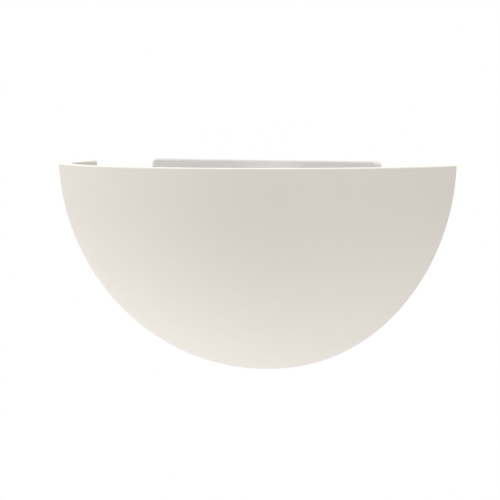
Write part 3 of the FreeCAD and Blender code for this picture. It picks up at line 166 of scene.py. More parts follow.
class ShaderWiring(Wiring):
    """Adds and joins the nodes of a material or of a shared shader group."""

    def spread(self, value: Value, low: float, high: float, start: float = 0.0, end: float = 1.0) -> Socket:
        """Stretch a range of values over another one, and hold it inside.

        Args:
            value: the value to stretch.
            low: the value that gives start.
            high: the value that gives end.
            start: first result.
            end: last result.

        Returns:
            The result's socket.
        """
        ends = {"Value": value, "From Min": low, "From Max": high, "To Min": start, "To Max": end}
        return self.add("ShaderNodeMapRange", ends).outputs["Result"]

    def mix(self, share: Value, first: Value, second: Value) -> Socket:
        """Mix two colours.

        Args:
            share: how much of the second colour.
            first: the first colour.
            second: the second colour.

        Returns:
            The mixed colour's socket.
        """
        colours = [(*c, 1.0) if isinstance(c, tuple) and len(c) == 3 else c for c in (first, second)]
        node = self.add("ShaderNodeMix", {0: share, 6: colours[0], 7: colours[1]}, data_type="RGBA")
        return node.outputs[2]

    def noise(self, vector: Value, scale: Value, detail: float = 2.0, roughness: float = 0.5) -> Socket:
        """A noise value of about 0 to 1.

        Args:
            vector: where it is read, in metres.
            scale: how many features a metre.
            detail: how many finer layers it has.
            roughness: how strong those are.

        Returns:
            The noise's socket.
        """
        inputs = {"Vector": vector, "Scale": scale, "Detail": detail, "Roughness": roughness}
        return self.add("ShaderNodeTexNoise", inputs).outputs[0]

    def dots(self, vector: Value, cells: float, rarity: float, rim: float, heart: float) -> Socket:
        """Scattered dots, one in the middle of a few cells of a grid.

        Args:
            vector: where it is read, in metres.
            cells: cells a metre.
            rarity: the share of cells that have none.
            rim: how far from a cell's middle its dot ends.
            heart: how far it is full.

        Returns:
            The dots' mask.
        """
        grid = self.add("ShaderNodeTexVoronoi", {"Vector": vector, "Scale": cells})
        chance = self.add("ShaderNodeSeparateColor", {0: grid.outputs["Color"]}).outputs[0]
        chosen = self.math("GREATER_THAN", chance, rarity)
        return self.math("MULTIPLY", self.spread(grid.outputs["Distance"], rim, heart), chosen)

    def bump(self, height: Value, depth: float, strength: float = 1.0, normal: Value | None = None) -> Socket:
        """Turn a height into a normal.

        Args:
            height: the height, 0 to 1.
            depth: what a height of 1 stands for, in metres.
            strength: share of the effect.
            normal: the normal of a layer below.

        Returns:
            The normal's socket.
        """
        inputs: Inputs = {"Height": height, "Distance": depth, "Strength": strength}
        if normal is not None:
            inputs["Normal"] = normal
        return self.add("ShaderNodeBump", inputs).outputs[0]


# ---- effects that several materials share ----------------------------------------------------------


@dataclass(frozen=True)
class Effect:
    """A shader node group, built once and placed in each material with its own values."""

    name: str
    inputs: Labels
    outputs: Labels

    def place(self, wiring: ShaderWiring, values: Inputs) -> Node:
        """Put the group into a material.

        Args:
            wiring: the material's wiring.
            values: values or sockets for the group's inputs.

        Returns:
            The group's node.
        """
        tree = bpy.data.node_groups.get(self.name) or self.build()
        return wiring.add("ShaderNodeGroup", values, node_tree=tree)

    def mask(self, wiring: ShaderWiring, values: Inputs) -> Socket:
        """Put the group into a material and give its mask."""
        return self.place(wiring, values).outputs["Mask"]

    def build(self) -> bpy.types.NodeTree:
        """Make the group.

        Returns:
            The group's tree.
        """
        tree = bpy.data.node_groups.new(self.name, "ShaderNodeTree")
        wiring = ShaderWiring(tree)
        for direction, labels in (("INPUT", self.inputs), ("OUTPUT", self.outputs)):
            for label, kind in labels:
                tree.interface.new_socket(name=label, in_out=direction, socket_type=f"NodeSocket{kind}")
        self.wire(wiring, wiring.add("NodeGroupInput"), wiring.add("NodeGroupOutput"))
        return tree

    def wire(self, wiring: ShaderWiring, inlet: Node, outlet: Node) -> None:
        """Fill the group. Each effect has its own nodes.

        Args:
            wiring: the group's wiring.
            inlet: the node that gives the group's inputs.
            outlet: the node that takes its outputs.
        """
        raise NotImplementedError


@dataclass(frozen=True)
class Mottle(Effect):
    """Soft blotches with finer ones on top, for tone and for roughness."""

    name: str = "mottle"
    inputs: Labels = (("Vector", "Vector"), ("Scale", "Float"), ("Contrast", "Float"))
    outputs: Labels = (("Mask", "Float"),)
    finer: float = 7.3
    coarse_share: float = 0.7
    middle: float = 0.5

    def wire(self, wiring: ShaderWiring, inlet: Node, outlet: Node) -> None:
        """Add two layers of noise, centred on one half.

        Args:
            wiring: the group's wiring.
            inlet: the node that gives the place, the scale and the contrast.
            outlet: the node that takes the mask.
        """
        vector, scale = inlet.outputs["Vector"], inlet.outputs["Scale"]
        coarse = wiring.noise(vector, scale, detail=3.0, roughness=0.55)
        fine = wiring.noise(vector, wiring.math("MULTIPLY", scale, self.finer), detail=1.0)
        coarse = wiring.math("MULTIPLY", coarse, self.coarse_share)
        fine = wiring.math("MULTIPLY", fine, 1.0 - self.coarse_share)
        off_middle = wiring.math("SUBTRACT", wiring.math("ADD", coarse, fine), self.middle)
        stretched = wiring.math("MULTIPLY", off_middle, inlet.outputs["Contrast"])
        held = wiring.add("ShaderNodeClamp", {"Value": wiring.math("ADD", stretched, self.middle)})
        wiring.feed(outlet, "Mask", held.outputs[0])


@dataclass(frozen=True)
class Grain(Effect):
    """Streaks that run along one axis, as rolling, drawing and brushing leave them."""

    name: str = "grain"
    inputs: Labels = (("Vector", "Vector"), ("Stretch", "Vector"), ("Fineness", "Float"))
    outputs: Labels = (("Mask", "Float"),)

    def wire(self, wiring: ShaderWiring, inlet: Node, outlet: Node) -> None:
        """Read noise on a stretched grid.

        Args:
            wiring: the group's wiring.
            inlet: the node that gives the place, the stretch and the fineness.
            outlet: the node that takes the mask.
        """
        stretched = wiring.vector("MULTIPLY", inlet.outputs["Vector"], inlet.outputs["Stretch"])
        lines = wiring.noise(stretched, inlet.outputs["Fineness"], detail=4.0, roughness=0.62)
        wiring.feed(outlet, "Mask", wiring.spread(lines, NOISE_LOW, NOISE_HIGH))


@dataclass(frozen=True)
class EdgeWearAndShade(Effect):
    """Finds edges by how far the rounded normal turns from the surface's own, for real wear on metal and for
    painted shade along enamel edges.
    """

    name: str = "edge_wear_and_shade"
    inputs: Labels = (("Vector", "Vector"), ("Width", "Float"), ("Patchiness", "Float"))
    outputs: Labels = (("Mask", "Float"),)
    flat_cosine: float = 0.98
    edge_cosine: float = 0.8
    patches: float = 160.0

    def wire(self, wiring: ShaderWiring, inlet: Node, outlet: Node) -> None:
        """Compare the two normals, and break the line with noise.

        Args:
            wiring: the group's wiring.
            inlet: the node that gives the place, the width and the patchiness.
            outlet: the node that takes the mask.
        """
        rounded = wiring.add("ShaderNodeBevel", {"Radius": inlet.outputs["Width"]}, samples=4)
        own = wiring.add("ShaderNodeNewGeometry")
        same = wiring.vector("DOT_PRODUCT", rounded.outputs[0], own.outputs["Normal"], output="Value")
        edge = wiring.spread(same, self.flat_cosine, self.edge_cosine)
        patches = wiring.noise(inlet.outputs["Vector"], self.patches, detail=3.0)
        broken = wiring.spread(wiring.math("MULTIPLY", patches, inlet.outputs["Patchiness"]), 0.3, 0.6)
        wiring.feed(outlet, "Mask", wiring.math("MULTIPLY", edge, broken))


@dataclass(frozen=True)
class Dust(Effect):
    """A thin fall of dust on what faces up."""

    name: str = "dust"
    inputs: Labels = (("Vector", "Vector"), ("Amount", "Float"))
    outputs: Labels = (("Mask", "Float"),)
    steepest: float = 0.55
    patches: float = 90.0

    def wire(self, wiring: ShaderWiring, inlet: Node, outlet: Node) -> None:
        """Mask what faces up with patches.

        Args:
            wiring: the group's wiring.
            inlet: the node that gives the place and the amount.
            outlet: the node that takes the mask.
        """
        normal = wiring.add("ShaderNodeNewGeometry").outputs["Normal"]
        upward = wiring.add("ShaderNodeSeparateXYZ", {0: normal}).outputs["Z"]
        lying = wiring.spread(upward, self.steepest, 1.0)
        fall = wiring.noise(inlet.outputs["Vector"], self.patches, detail=5.0, roughness=0.7)
        patchy = wiring.math("MULTIPLY", lying, wiring.spread(fall, 0.35, 0.75))
        wiring.feed(outlet, "Mask", wiring.math("MULTIPLY", patchy, inlet.outputs["Amount"]))


@dataclass(frozen=True)
class Braid(Effect):
    """Crossing strands round a sleeve, from the sleeve's own attribute of (cosine, sine, metres along)."""

    name: str = "braid"
    inputs: Labels = (("Sleeve", "Vector"), ("Strands", "Float"), ("Turns", "Float"))
    outputs: Labels = (("Height", "Float"), ("Angle", "Float"))

    def wire(self, wiring: ShaderWiring, inlet: Node, outlet: Node) -> None:
        """Wind one set of strands left and one right, and let them cross in turn.

        Args:
            wiring: the group's wiring.
            inlet: the node that gives the sleeve's attribute, the strands and the turns.
            outlet: the node that takes the height and the angle.
        """
        parts = wiring.add("ShaderNodeSeparateXYZ", {0: inlet.outputs["Sleeve"]})
        angle = wiring.math("ARCTAN2", parts.outputs["Y"], parts.outputs["X"])
        round_way = wiring.math("MULTIPLY", angle, inlet.outputs["Strands"])
        long_way = wiring.math("MULTIPLY", parts.outputs["Z"], inlet.outputs["Turns"])
        left, right = (
            wiring.math("ABSOLUTE", wiring.math("COSINE", wiring.math(way, round_way, long_way)))
            for way in ("ADD", "SUBTRACT")
        )
        wiring.feed(outlet, "Height", wiring.math("MAXIMUM", left, right))
        wiring.feed(outlet, "Angle", angle)


MOTTLE, GRAIN, EDGE_WEAR_AND_SHADE, DUST, BRAID = Mottle(), Grain(), EdgeWearAndShade(), Dust(), Braid()


# ---- finishes --------------------------------------------------------------------------------------


@dataclass(frozen=True)
class Finish:
    """A procedural finish of one material slot."""

    slot: Slot
    colour: Colour
    roughness: float = 0.5

    def material(self) -> bpy.types.Material:
        """Make the finish's material.

        Returns:
            The material.
        """
        made = bpy.data.materials.new(self.slot.value)
        made.use_nodes = True
        wiring = ShaderWiring(made.node_tree)
        surface = wiring.add("ShaderNodeOutputMaterial")
        shader = wiring.add("ShaderNodeBsdfPrincipled", {"Roughness": self.roughness})
        wiring.feed(surface, "Surface", shader.outputs[0])
        place = wiring.add("ShaderNodeTexCoord").outputs["Object"]
        self.wire(wiring, shader, place)
        return made

    def wire(self, wiring: ShaderWiring, shader: Node, place: Socket) -> None:
        """Add the finish's own nodes.

        Args:
            wiring: the material's wiring.
            shader: its Principled shader.
            place: the object's coordinates, in metres.
        """
        raise NotImplementedError

    def tone(self, wiring: ShaderWiring, place: Value, scale: float, spread: float) -> Socket:
        """The finish's colour, a little darker and lighter in soft patches.

        Args:
            wiring: the material's wiring.
            place: the object's coordinates.
            scale: patches a metre.
            spread: how far the tone goes either way.

        Returns:
            The colour's socket.
        """
        mask = MOTTLE.mask(wiring, {"Vector": place, "Scale": scale, "Contrast": 1.6})
        return wiring.mix(mask, self.shaded(1 - spread), self.shaded(1 + spread))

    def shaded(self, share: float) -> Colour:
        """The finish's colour times a share, up to white."""
        return tuple(min(part * share, 1.0) for part in self.colour)


@dataclass(frozen=True)
class Plaster(Finish):
    """Fine cast plaster, rubbed smooth and sealed outside, left as cast inside."""

    bare: Colour = (0.86, 0.84, 0.79)
    centre: Triple = (0.0, 0.0, 0.070)
    inner_radius: float = 0.1413
    seal_step: float = 0.4 * MM
    patches: float = 11.0
    warm_patches: float = 5.0
    warmth: Colour = (1.0, 0.985, 0.95)
    pore_cells: float = 150.0
    pore_rarity: float = 0.82
    pore_depth: float = 0.25 * MM
    rubbing: float = 70.0
    bare_roughness: float = 0.18
    swell: float = 38.0
    swell_depth: float = 0.22 * MM
    mould_grain: float = 260.0
    mould_grain_depth: float = 0.5 * MM
    skin: float = 1500.0
    skin_depth: float = 0.035 * MM

    def wire(self, wiring: ShaderWiring, shader: Node, place: Socket) -> None:
        """Tone, pores with painted shade in them, and rubbed grain outside, and the coarser skin of the mould
        inside.

        Args:
            wiring: the material's wiring.
            shader: its Principled shader.
            place: the object's coordinates, in metres.
        """
        from_middle = wiring.vector("DISTANCE", place, self.centre, output="Value")
        outside = wiring.spread(from_middle, self.inner_radius, self.inner_radius + self.seal_step)
        inside = wiring.math("SUBTRACT", 1.0, outside)
        pore = wiring.dots(place, self.pore_cells, self.pore_rarity, rim=0.07, heart=0.03)
        as_cast = wiring.noise(place, 35.0, detail=5.0, roughness=0.6)
        bare = wiring.mix(as_cast, self.bare, tuple(part * 0.93 for part in self.bare))
        wiring.feed(shader, "Base Color", wiring.mix(outside, bare, self.sealed(wiring, place, pore)))
        rub = MOTTLE.mask(wiring, {"Vector": place, "Scale": self.rubbing, "Contrast": 1.8})
        rubbed = wiring.spread(rub, 0.0, 1.0, start=self.roughness - 0.05, end=self.roughness + 0.07)
        wiring.feed(shader, "Roughness", wiring.math("MULTIPLY_ADD", inside, self.bare_roughness, rubbed))
        mould = wiring.noise(place, self.mould_grain, detail=5.0, roughness=0.7)
        normal = wiring.bump(wiring.noise(place, self.swell), self.swell_depth, strength=0.6)
        normal = wiring.bump(wiring.math("MULTIPLY", mould, inside), self.mould_grain_depth, 0.9, normal)
        normal = wiring.bump(wiring.noise(place, self.skin, 3.0, 0.6), self.skin_depth, 0.8, normal)
        normal = wiring.bump(wiring.math("SUBTRACT", 1.0, pore), self.pore_depth, 0.6, normal)
        wiring.feed(shader, "Normal", normal)
        shader.inputs["Specular IOR Level"].default_value = 0.35

    def sealed(self, wiring: ShaderWiring, place: Value, pore: Value) -> Socket:
        """The colour of the sealed outside, warmer in wide patches, with painted shade in its pores.

        Args:
            wiring: the material's wiring.
            place: the object's coordinates.
            pore: the pores' mask.

        Returns:
            The colour's socket.
        """
        even = self.tone(wiring, place, self.patches, spread=0.018)
        warm_share = wiring.spread(wiring.noise(place, self.warm_patches), 0.45, 0.75, start=0.0, end=0.35)
        warm = tuple(part * share for part, share in zip(self.colour, self.warmth))
        # painted shade: the pores are painted darker, as the shade inside them
        painted_pore_shade = wiring.math("MULTIPLY", pore, 0.35)
        return wiring.mix(painted_pore_shade, wiring.mix(warm_share, even, warm), self.shaded(0.72))


@dataclass(frozen=True)
class Enamel(Finish):
    """Powder coat with its orange peel, dusty on top, and painted darker along its edges, partly for a
    thinner coat there and partly as painted shade.
    """

    edge_width: float = 0.5 * MM
    dust: Colour = (0.62, 0.59, 0.54)
    peel: float = 620.0
    peel_depth: float = 0.03 * MM

    def wire(self, wiring: ShaderWiring, shader: Node, place: Socket) -> None:
        """Tone, darker edges (thinner coat and painted shade) and dust over a softly dimpled coat.

        Args:
            wiring: the material's wiring.
            shader: its Principled shader.
            place: the object's coordinates, in metres.
        """
        edge = EDGE_WEAR_AND_SHADE.mask(wiring, {"Vector": place, "Width": self.edge_width, "Patchiness": 0.8})
        dust = DUST.mask(wiring, {"Vector": place, "Amount": 0.25})
        coat = self.tone(wiring, place, 22.0, spread=0.015)
        # painted shade: the edges are painted darker, partly for the thinner coat and partly as the shade
        # that falls along them
        coat_with_painted_edge_shade = wiring.mix(wiring.math("MULTIPLY", edge, 0.3), coat, self.shaded(0.86))
        wiring.feed(shader, "Base Color", wiring.mix(dust, coat_with_painted_edge_shade, self.dust))
        peel = wiring.noise(place, self.peel, detail=1.0)
        gloss = wiring.spread(peel, NOISE_LOW, NOISE_HIGH, self.roughness - 0.04, self.roughness + 0.05)
        wiring.feed(shader, "Roughness", wiring.math("MULTIPLY_ADD", dust, 0.4, gloss))
        wiring.feed(shader, "Normal", wiring.bump(peel, self.peel_depth, strength=0.7))


@dataclass(frozen=True)
class Metal(Finish):
    """Bare or plated metal with the grain of how it was made."""

    tarnish: Colour = (0.4, 0.38, 0.34)
    tarnish_share: float = 0.15
    stretch: Triple = (1.0, 1.0, 1.0)
    fineness: float = 1800.0
    grain_depth: float = 0.004 * MM
    wear: float = 0.3
    edge_width: float = 0.25 * MM

    def wire(self, wiring: ShaderWiring, shader: Node, place: Socket) -> None:
        """Grain, tarnish in patches, and edges rubbed bright.

        Args:
            wiring: the material's wiring.
            shader: its Principled shader.
            place: the object's coordinates, in metres.
        """
        grain = GRAIN.mask(wiring, {"Vector": place, "Stretch": self.stretch, "Fineness": self.fineness})
        patches = MOTTLE.mask(wiring, {"Vector": place, "Scale": 130.0, "Contrast": 2.4})
        edge = EDGE_WEAR_AND_SHADE.mask(wiring, {"Vector": place, "Width": self.edge_width, "Patchiness": 1.0})
        dull = wiring.math("MULTIPLY", patches, self.tarnish_share)
        body = wiring.mix(dull, self.tone(wiring, place, 60.0, spread=0.04), self.tarnish)
        rubbed = wiring.math("MULTIPLY", edge, self.wear)
        wiring.feed(shader, "Base Color", wiring.mix(rubbed, body, self.shaded(1.12)))
        rough = wiring.spread(grain, 0.0, 1.0, start=self.roughness * 0.75, end=self.roughness * 1.3)
        wiring.feed(shader, "Roughness", wiring.math("MULTIPLY_ADD", dull, 0.5, rough))
        wiring.feed(shader, "Normal", wiring.bump(grain, self.grain_depth, strength=0.8))
        shader.inputs["Metallic"].default_value = 1.0


@dataclass(frozen=True)
class Ceramic(Finish):
    """Pressed and fired ceramic, bare or under a glaze."""

    glaze: float = 0.0
    speck: Colour = (0.55, 0.50, 0.42)
    speck_cells: float = 900.0
    speck_rarity: float = 0.93
    dust: Colour = (0.6, 0.57, 0.5)
    grit: float = 2200.0
    grit_depth: float = 0.02 * MM

    def wire(self, wiring: ShaderWiring, shader: Node, place: Socket) -> None:
        """Small dark specks in a fine-grained body, with any glaze on top.

        Args:
            wiring: the material's wiring.
            shader: its Principled shader.
            place: the object's coordinates, in metres.
        """
        speck = wiring.dots(place, self.speck_cells, self.speck_rarity, rim=0.25, heart=0.1)
        dust = DUST.mask(wiring, {"Vector": place, "Amount": 0.2})
        even = self.tone(wiring, place, 90.0, spread=0.03)
        body = wiring.mix(wiring.math("MULTIPLY", speck, 0.6), even, self.speck)
        wiring.feed(shader, "Base Color", wiring.mix(dust, body, self.dust))
        grit = wiring.noise(place, self.grit)
        rough = wiring.spread(grit, NOISE_LOW, NOISE_HIGH, self.roughness * 0.85, self.roughness * 1.1)
        wiring.feed(shader, "Roughness", rough)
        wiring.feed(shader, "Normal", wiring.bump(grit, self.grit_depth * (1 - 0.8 * self.glaze), 0.7))
        if self.glaze:
            pools = wiring.noise(place, 140.0, detail=1.0)
            pooled = wiring.spread(pools, NOISE_LOW, NOISE_HIGH, 0.75 * self.glaze, self.glaze)
            wiring.feed(shader, "Coat Weight", pooled)
            shader.inputs["Coat Roughness"].default_value = 0.06


@dataclass(frozen=True)
class Moulded(Finish):
    """Moulded rubber, nylon or pressed fibre."""

    flecks: Colour = (0.3, 0.3, 0.3)
    fleck_share: float = 0.1
    stretch: Triple = (1.0, 1.0, 1.0)
    fineness: float = 900.0
    dust: Colour = (0.5, 0.48, 0.44)
    texture_depth: float = 0.02 * MM
    softness: float = 0.0
    soft_depth: float = 1.0 * MM

    def wire(self, wiring: ShaderWiring, shader: Node, place: Socket) -> None:
        """A fleck or fibre pattern, the tool's fine texture and a little dust.

        Args:
            wiring: the material's wiring.
            shader: its Principled shader.
            place: the object's coordinates, in metres.
        """
        threads = GRAIN.mask(wiring, {"Vector": place, "Stretch": self.stretch, "Fineness": self.fineness})
        dust = DUST.mask(wiring, {"Vector": place, "Amount": 0.25})
        even = self.tone(wiring, place, 150.0, spread=0.06)
        flecked = wiring.mix(wiring.math("MULTIPLY", threads, self.fleck_share), even, self.flecks)
        wiring.feed(shader, "Base Color", wiring.mix(dust, flecked, self.dust))
        texture = wiring.noise(place, 1600.0)
        rough = wiring.spread(texture, NOISE_LOW, NOISE_HIGH, self.roughness - 0.06, self.roughness + 0.06)
        wiring.feed(shader, "Roughness", rough)
        height = wiring.math("MULTIPLY_ADD", threads, 0.5, texture)
        wiring.feed(shader, "Normal", wiring.bump(height, self.texture_depth, strength=0.8))
        shader.inputs["Subsurface Weight"].default_value = self.softness
        shader.inputs["Subsurface Scale"].default_value = self.soft_depth


@dataclass(frozen=True)
class Quartz(Finish):
    """Clear drawn quartz, with faint draw lines along the tube."""

    stretch: Triple = (0.04, 1.0, 1.0)
    fineness: float = 500.0
    line_depth: float = 0.01 * MM
    ior: float = 1.46

    def wire(self, wiring: ShaderWiring, shader: Node, place: Socket) -> None:
        """Clear glass whose gloss varies a little.

        Args:
            wiring: the material's wiring.
            shader: its Principled shader.
            place: the object's coordinates, in metres.
        """
        lines = GRAIN.mask(wiring, {"Vector": place, "Stretch": self.stretch, "Fineness": self.fineness})
        wiring.feed(shader, "Base Color", wiring.mix(lines, self.colour, self.shaded(0.985)))
        gloss = wiring.spread(lines, 0.0, 1.0, start=self.roughness, end=self.roughness + 0.03)
        wiring.feed(shader, "Roughness", gloss)
        wiring.feed(shader, "Normal", wiring.bump(lines, self.line_depth, strength=0.4))
        shader.inputs["Transmission Weight"].default_value = 1.0
        shader.inputs["IOR"].default_value = self.ior


@dataclass(frozen=True)
class Sleeve(Finish):
    """Braided glass-fibre sleeve dipped in silicone, with a stripe on the earth wire."""

    stripe: Colour | None = None
    stripe_edge: tuple[float, float] = (1.15, 1.25)
    strands: float = 8.0
    turns: float = 2600.0
    braid_depth: float = 0.12 * MM

    def wire(self, wiring: ShaderWiring, shader: Node, place: Socket) -> None:
        """The braid follows the sleeve by its own attribute, and the stripe by the angle round it; the
        hollows between the strands get painted shade.

        Args:
            wiring: the material's wiring.
            shader: its Principled shader.
            place: the object's coordinates, in metres.
        """
        own = wiring.add("ShaderNodeAttribute", attribute_name=SleevedWire.ATTRIBUTE).outputs["Vector"]
        braid = BRAID.place(wiring, {"Sleeve": own, "Strands": self.strands, "Turns": self.turns})
        base: Value = self.tone(wiring, place, 180.0, spread=0.07)
        if self.stripe:
            beside = wiring.spread(wiring.math("ABSOLUTE", braid.outputs["Angle"]), *self.stripe_edge)
            base = wiring.mix(beside, self.stripe, base)
        crest = wiring.spread(braid.outputs["Height"], 0.55, 0.85)
        # painted shade: the hollows between the strands are painted darker
        wiring.feed(shader, "Base Color", wiring.mix(crest, self.shaded(0.55), base))
        gloss = wiring.spread(crest, 0.0, 1.0, start=self.roughness + 0.15, end=self.roughness)
        wiring.feed(shader, "Roughness", gloss)
        wiring.feed(shader, "Normal", wiring.bump(braid.outputs["Height"], self.braid_depth, 0.9))


FINISHES: tuple[Finish, ...] = (
    Plaster(Slot.PLASTER, (0.87, 0.83, 0.765), 0.62),
    Enamel(Slot.ENAMEL, (0.90, 0.895, 0.88), 0.36),
    Metal(Slot.ZINC, (0.66, 0.67, 0.69), 0.32, tarnish=(0.45, 0.43, 0.38), tarnish_share=0.3),
    Moulded(Slot.FIBRE, (0.27, 0.085, 0.055), 0.7, flecks=(0.42, 0.16, 0.10), fleck_share=0.5,
            stretch=(1.0, 0.3, 0.25), texture_depth=0.05 * MM),
    Metal(Slot.NICKEL, (0.72, 0.68, 0.61), 0.2, tarnish=(0.42, 0.36, 0.27), tarnish_share=0.2, wear=0.5),
    Metal(Slot.RIVET, (0.74, 0.74, 0.75), 0.34, tarnish=(0.55, 0.55, 0.56)),
    Metal(Slot.MIRROR_SHEET, (0.86, 0.86, 0.87), 0.16, tarnish=(0.7, 0.7, 0.7), tarnish_share=0.12,
          stretch=(0.02, 1.0, 1.0), fineness=1500.0, grain_depth=0.008 * MM),
    Ceramic(Slot.STEATITE, (0.79, 0.745, 0.65), 0.5),
    Metal(Slot.CONTACT, (0.70, 0.67, 0.61), 0.26, tarnish=(0.3, 0.27, 0.24), tarnish_share=0.35),
    Metal(Slot.SPRING, (0.52, 0.52, 0.53), 0.3, stretch=(0.2, 1.0, 1.0), fineness=2500.0),
    Metal(Slot.BRASS, (0.68, 0.47, 0.19), 0.27, tarnish=(0.36, 0.22, 0.09), tarnish_share=0.35, wear=0.5),
    Quartz(Slot.QUARTZ, (0.985, 0.99, 0.995), 0.01),
    Ceramic(Slot.LAMP_END, (0.84, 0.81, 0.745), 0.42),
    Metal(Slot.TUNGSTEN, (0.30, 0.30, 0.31), 0.42, tarnish=(0.16, 0.16, 0.18), tarnish_share=0.4),
    Ceramic(Slot.PORCELAIN, (0.85, 0.835, 0.79), 0.3, glaze=0.8, speck=(0.6, 0.55, 0.48)),
    Moulded(Slot.RUBBER, (0.035, 0.035, 0.037), 0.62, flecks=(0.09, 0.09, 0.09), fleck_share=0.3),
    Moulded(Slot.NYLON, (0.80, 0.79, 0.72), 0.4, flecks=(0.86, 0.85, 0.80), fleck_share=0.2, softness=0.2),
    Metal(Slot.TINNED, (0.70, 0.69, 0.67), 0.3, tarnish=(0.5, 0.48, 0.44), tarnish_share=0.3),
    Sleeve(Slot.SLEEVE_BROWN, (0.17, 0.07, 0.035), 0.45),
    Sleeve(Slot.SLEEVE_BLUE, (0.035, 0.12, 0.42), 0.45),
    Sleeve(Slot.SLEEVE_GREEN, (0.07, 0.33, 0.05), 0.45, stripe=(0.85, 0.62, 0.04)),
)


# ---- patterns built with geometry nodes ------------------------------------------------------------


class GeometryWiring(Wiring):
    """Adds and joins the nodes of a geometry tree."""

    def join(self, *pieces: Socket) -> Socket:
        """Join several geometries.

        Args:
            pieces: their sockets.

        Returns:
            The joined geometry's socket.
        """
        node = self.add("GeometryNodeJoinGeometry")
        for piece in pieces:
            self.tree.links.new(piece, node.inputs[0])
        return node.outputs[0]

    def swept(self, curve: Value, profile: Value) -> Socket:
        """Sweep a profile along a curve and close its ends."""
        ends: Inputs = {"Curve": curve, "Profile Curve": profile, "Fill Caps": True}
        return self.add("GeometryNodeCurveToMesh", ends).outputs[0]

    def circle(self, radius: Value, sides: int) -> Socket:
        """A closed round section."""
        sizes: Inputs = {"Resolution": sides, "Radius": radius}
        return self.add("GeometryNodeCurvePrimitiveCircle", sizes).outputs[0]

    def spiral(self, first: Value, last: Value, height: Value, turns: Value, points: int) -> Socket:
        """A spiral line round the z axis.

        Args:
            first: its radius at the origin's level.
            last: its radius at the far end.
            height: its rise.
            turns: how many turns it has.
            points: points a turn.

        Returns:
            The curve's socket.
        """
        sizes: Inputs = {"Resolution": points, "Rotations": turns, "Start Radius": first, "End Radius": last}
        return self.add("GeometryNodeCurveSpiral", {**sizes, "Height": height}).outputs[0]

    def wound(self, line: Value, wire_radius: Value, sides: int) -> Socket:
        """Lay a wire along a spiral, with its section kept level.

        Args:
            line: the spiral.
            wire_radius: the wire's radius.
            sides: sides of its section.

        Returns:
            The mesh's socket.
        """
        level = self.add("GeometryNodeSetCurveNormal", {0: line}, mode="Z_UP").outputs[0]
        return self.swept(level, self.circle(wire_radius, sides))

    def post(self, sides: int, radius: Value, height: Value) -> Socket:
        """A round post that stands on the origin.

        Args:
            sides: how many sides it has.
            radius: its radius.
            height: its height.

        Returns:
            The mesh's socket.
        """
        sizes: Inputs = {"Vertices": sides, "Radius": radius, "Depth": height}
        drum = self.add("GeometryNodeMeshCylinder", sizes).outputs[0]
        return self.moved(drum, self.along("Z", self.math("MULTIPLY", height, 0.5)))

    def moved(self, shape: Value, shift: Value = (0.0, 0.0, 0.0), turn: Value = (0.0, 0.0, 0.0)) -> Socket:
        """Turn a geometry about x, y and z, and then shift it."""
        node = self.add("GeometryNodeTransform", {"Geometry": shape, "Translation": shift, "Rotation": turn})
        return node.outputs[0]

    def along(self, axis: str, distance: Value) -> Socket:
        """A vector of a given length along X, Y or Z."""
        return self.add("ShaderNodeCombineXYZ", {axis: distance}).outputs[0]

    def row(self, shape: Value, count: Value, first: Value, step: Value) -> Socket:
        """Copies of a shape, in a row along x.

        Args:
            shape: what is copied.
            count: how many copies.
            first: where the first one stands.
            step: from one to the next.

        Returns:
            The copies' socket.
        """
        spots: Inputs = {"Count": count, "Start Location": first, "Offset": self.along("X", step)}
        points = self.add("GeometryNodeMeshLine", spots).outputs[0]
        return self.add("GeometryNodeInstanceOnPoints", {"Points": points, "Instance": shape}).outputs[0]


@dataclass(frozen=True)
class Pattern:
    """A geometry tree with named sizes, which ends in real geometry with its material set."""

    name: str
    inputs: Labels

    def build(self) -> bpy.types.NodeTree:
        """Make the tree.

        Returns:
            The tree, with its named inputs.
        """
        tree = bpy.data.node_groups.new(self.name, "GeometryNodeTree")
        wiring = GeometryWiring(tree)
        for label, kind in (("Geometry", "Geometry"), *self.inputs, ("Material", "Material")):
            tree.interface.new_socket(name=label, in_out="INPUT", socket_type=f"NodeSocket{kind}")
        tree.interface.new_socket(name="Geometry", in_out="OUTPUT", socket_type="NodeSocketGeometry")
        inlet = wiring.add("NodeGroupInput")
        outlet = wiring.add("NodeGroupOutput")
        shape = self.wire(wiring, inlet.outputs)
        smooth = wiring.add("GeometryNodeSetShadeSmooth", {"Geometry": shape, "Shade Smooth": True})
        real = wiring.add("GeometryNodeRealizeInstances", {"Geometry": smooth.outputs[0]}).outputs[0]
        finish = {"Geometry": real, "Material": inlet.outputs["Material"]}
        wiring.feed(outlet, 0, wiring.add("GeometryNodeSetMaterial", finish).outputs[0])
        return tree

    def wire(self, wiring: GeometryWiring, sizes: bpy.types.NodeOutputs) -> Socket:
        """Add the pattern's own nodes.

        Args:
            wiring: the tree's wiring.
            sizes: the tree's named inputs.

        Returns:
            The shape's socket.
        """
        raise NotImplementedError

    def grow(
        self, name: str, values: dict[str, Value], start: bpy.types.Mesh | None = None
    ) -> bpy.types.Object:
        """Run the tree and keep its result as a plain mesh.

        Args:
            name: the piece's name.
            values: the sizes and the material, by the inputs' names.
            start: the mesh that the tree starts from, if it needs one.

        Returns:
            The piece.
        """
        tree = bpy.data.node_groups.get(self.name) or self.build()
        host = bpy.data.objects.new(f"{name}_host", start or bpy.data.meshes.new(f"{name}_host"))
        bpy.context.scene.collection.objects.link(host)
        modifier = host.modifiers.new(self.name, "NODES")
        modifier.node_group = tree
        sockets = {item.name: item.identifier for item in tree.interface.items_tree if item.in_out == "INPUT"}
        for label, value in values.items():
            modifier[sockets[label]] = value
        graph = bpy.context.evaluated_depsgraph_get()
        grown = host.evaluated_get(graph)
        mesh = bpy.data.meshes.new_from_object(grown, preserve_all_data_layers=True, depsgraph=graph)
        mesh.name = name
        piece = bpy.data.objects.new(name, mesh)
        bpy.context.scene.collection.objects.link(piece)
        bpy.data.objects.remove(host)
        return piece


